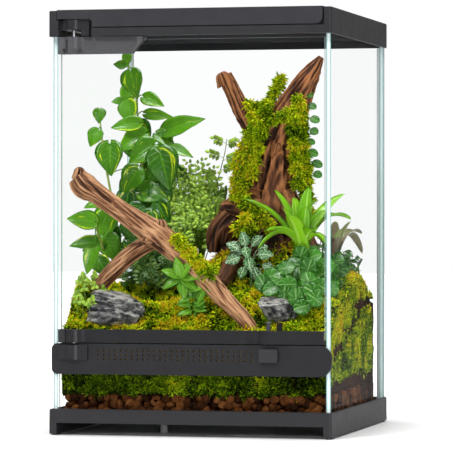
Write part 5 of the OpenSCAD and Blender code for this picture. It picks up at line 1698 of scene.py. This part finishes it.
    def dress(self, beds: Substrate) -> None:
        """Build every plant."""
        self.pothos()
        self.ferns()
        self.centre()
        self.round_leaves()
        self.rosettes()
        self.wood_moss(beds)


@dataclass(frozen=True)
class Lamp:
    """A soft square lamp that points at the tank."""

    name: str
    at: tuple[float, float, float]
    size: float
    power: float

    def hang(self, target: Array) -> None:
        """Hang the lamp and turn it to the target."""
        light = bpy.data.lights.new(self.name, "AREA")
        light.size, light.energy = self.size, self.power
        lamp = bpy.data.objects.new(self.name, light)
        lamp.location = self.at
        aim = target - np.array(self.at)
        lamp.rotation_euler = (math.acos(-aim[2] / np.linalg.norm(aim)), 0, math.atan2(-aim[0], aim[1]))
        bpy.context.scene.collection.objects.link(lamp)


@dataclass
class Studio:
    """Floor, world, lamps and the camera."""

    lens: float = 244.4
    sensor: float = 36.0
    place: tuple[float, float, float] = (0.8088, -3.2643, 0.2315)
    turn: float = 13.87
    shift: float = -0.0212
    target: tuple[float, float, float] = (0, 0, 0.22)
    room: float = 0.42
    gloss: tuple[float, float] = (0.1, 0.22)
    floor_half: float = 9.0
    lamps: tuple[Lamp, ...] = (
        Lamp("key", (-1.2, -2.2, 2.5), 0.9, 88), Lamp("fill", (2.4, -2.2, 1.6), 1.2, 16),
        Lamp("front", (1.9, -2.5, 0.36), 0.7, 20), Lamp("top", (0.1, 0.0, 2.2), 1.0, 70),
        Lamp("rim", (-1.6, 1.8, 1.8), 1.2, 26))

    def build(self) -> None:
        """Set up everything round the object."""
        scene = bpy.context.scene
        scene.view_settings.view_transform = "Standard"
        camera = bpy.data.objects.new("camera", bpy.data.cameras.new("camera"))
        camera.data.lens = self.lens
        camera.data.sensor_width = self.sensor
        camera.data.shift_y = self.shift
        camera.data.clip_end = 50
        camera.location = self.place
        camera.rotation_euler = (math.radians(90), 0, math.radians(self.turn))
        scene.collection.objects.link(camera)
        scene.camera = camera
        scene.world = self.world()
        self.floor()
        for lamp in self.lamps:
            lamp.hang(np.array(self.target))

    def world(self) -> bpy.types.World:
        """Return a world that is white to the camera and through glass, and a pale room to the rest."""
        sky = Recipe("studio", sky=True)
        path = sky.add("ShaderNodeLightPath")
        seen = sky.maths("MAXIMUM", path.outputs["Is Camera Ray"], path.outputs["Is Transmission Ray"])
        behind = sky.split(sky.add("ShaderNodeTexCoord").outputs["Generated"], 1)
        shine = sky.blend(path.outputs["Is Glossy Ray"], self.room, sky.step(behind, -0.25, 0.3, *self.gloss))
        sockets = {"Color": (1, 1, 1, 1), "Strength": sky.blend(seen, shine, 1.0)}
        background = sky.add("ShaderNodeBackground", sockets)
        sky.add("ShaderNodeOutputWorld", {0: background.outputs[0]})
        return sky.owner

    def floor(self) -> None:
        """Lay a white floor that keeps the object's shadow; its glow to the camera fades out towards the
        tank, a painted shade round the tank's foot.
        """
        mesh = bpy.data.meshes.new("floor")
        r = self.floor_half
        mesh.from_pydata([(-r, -r, 0), (r, -r, 0), (r, r, 0), (-r, r, 0)], [], [(0, 1, 2, 3)])
        floor = bpy.data.objects.new("floor", mesh)
        bpy.context.scene.collection.objects.link(floor)
        recipe = Recipe("studio floor")
        path = recipe.add("ShaderNodeLightPath")
        spot = recipe.place()
        sides = [recipe.maths("ABSOLUTE", recipe.split(spot, axis)) for axis in (0, 1)]
        reach = recipe.maths("MAXIMUM", *sides)
        glow = recipe.plus(0.5, recipe.times(recipe.step(reach, 1.0, 4.0), 0.5))
        # Painted shade: no glow near the tank, so the floor round its foot stays darker.
        glow = recipe.times(recipe.step(reach, 0.15, 0.4), glow)
        light = recipe.add("ShaderNodeEmission", {
            "Color": (1, 1, 1, 1), "Strength": recipe.times(path.outputs["Is Camera Ray"], glow)})
        paint = recipe.mix(path.outputs["Is Glossy Ray"], (0.8, 0.8, 0.8), (0.4, 0.4, 0.4))
        plain = recipe.principled({"Base Color": paint, "Roughness": 0.35})
        shader = recipe.add("ShaderNodeAddShader", {0: light.outputs[0], 1: plain})
        mesh.materials.append(recipe.finish(shader.outputs[0]))


def main() -> None:
    """Build the scene round the frame."""
    logging.basicConfig(level=logging.INFO, format="%(name)s: %(message)s")
    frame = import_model()
    Studio().build()
    Enclosure().dress(frame)
    beds = Substrate()
    beds.dress()
    Driftwood().dress()
    Rocks().dress()
    Greenery().dress(beds)


if __name__ == "__main__":
    main()
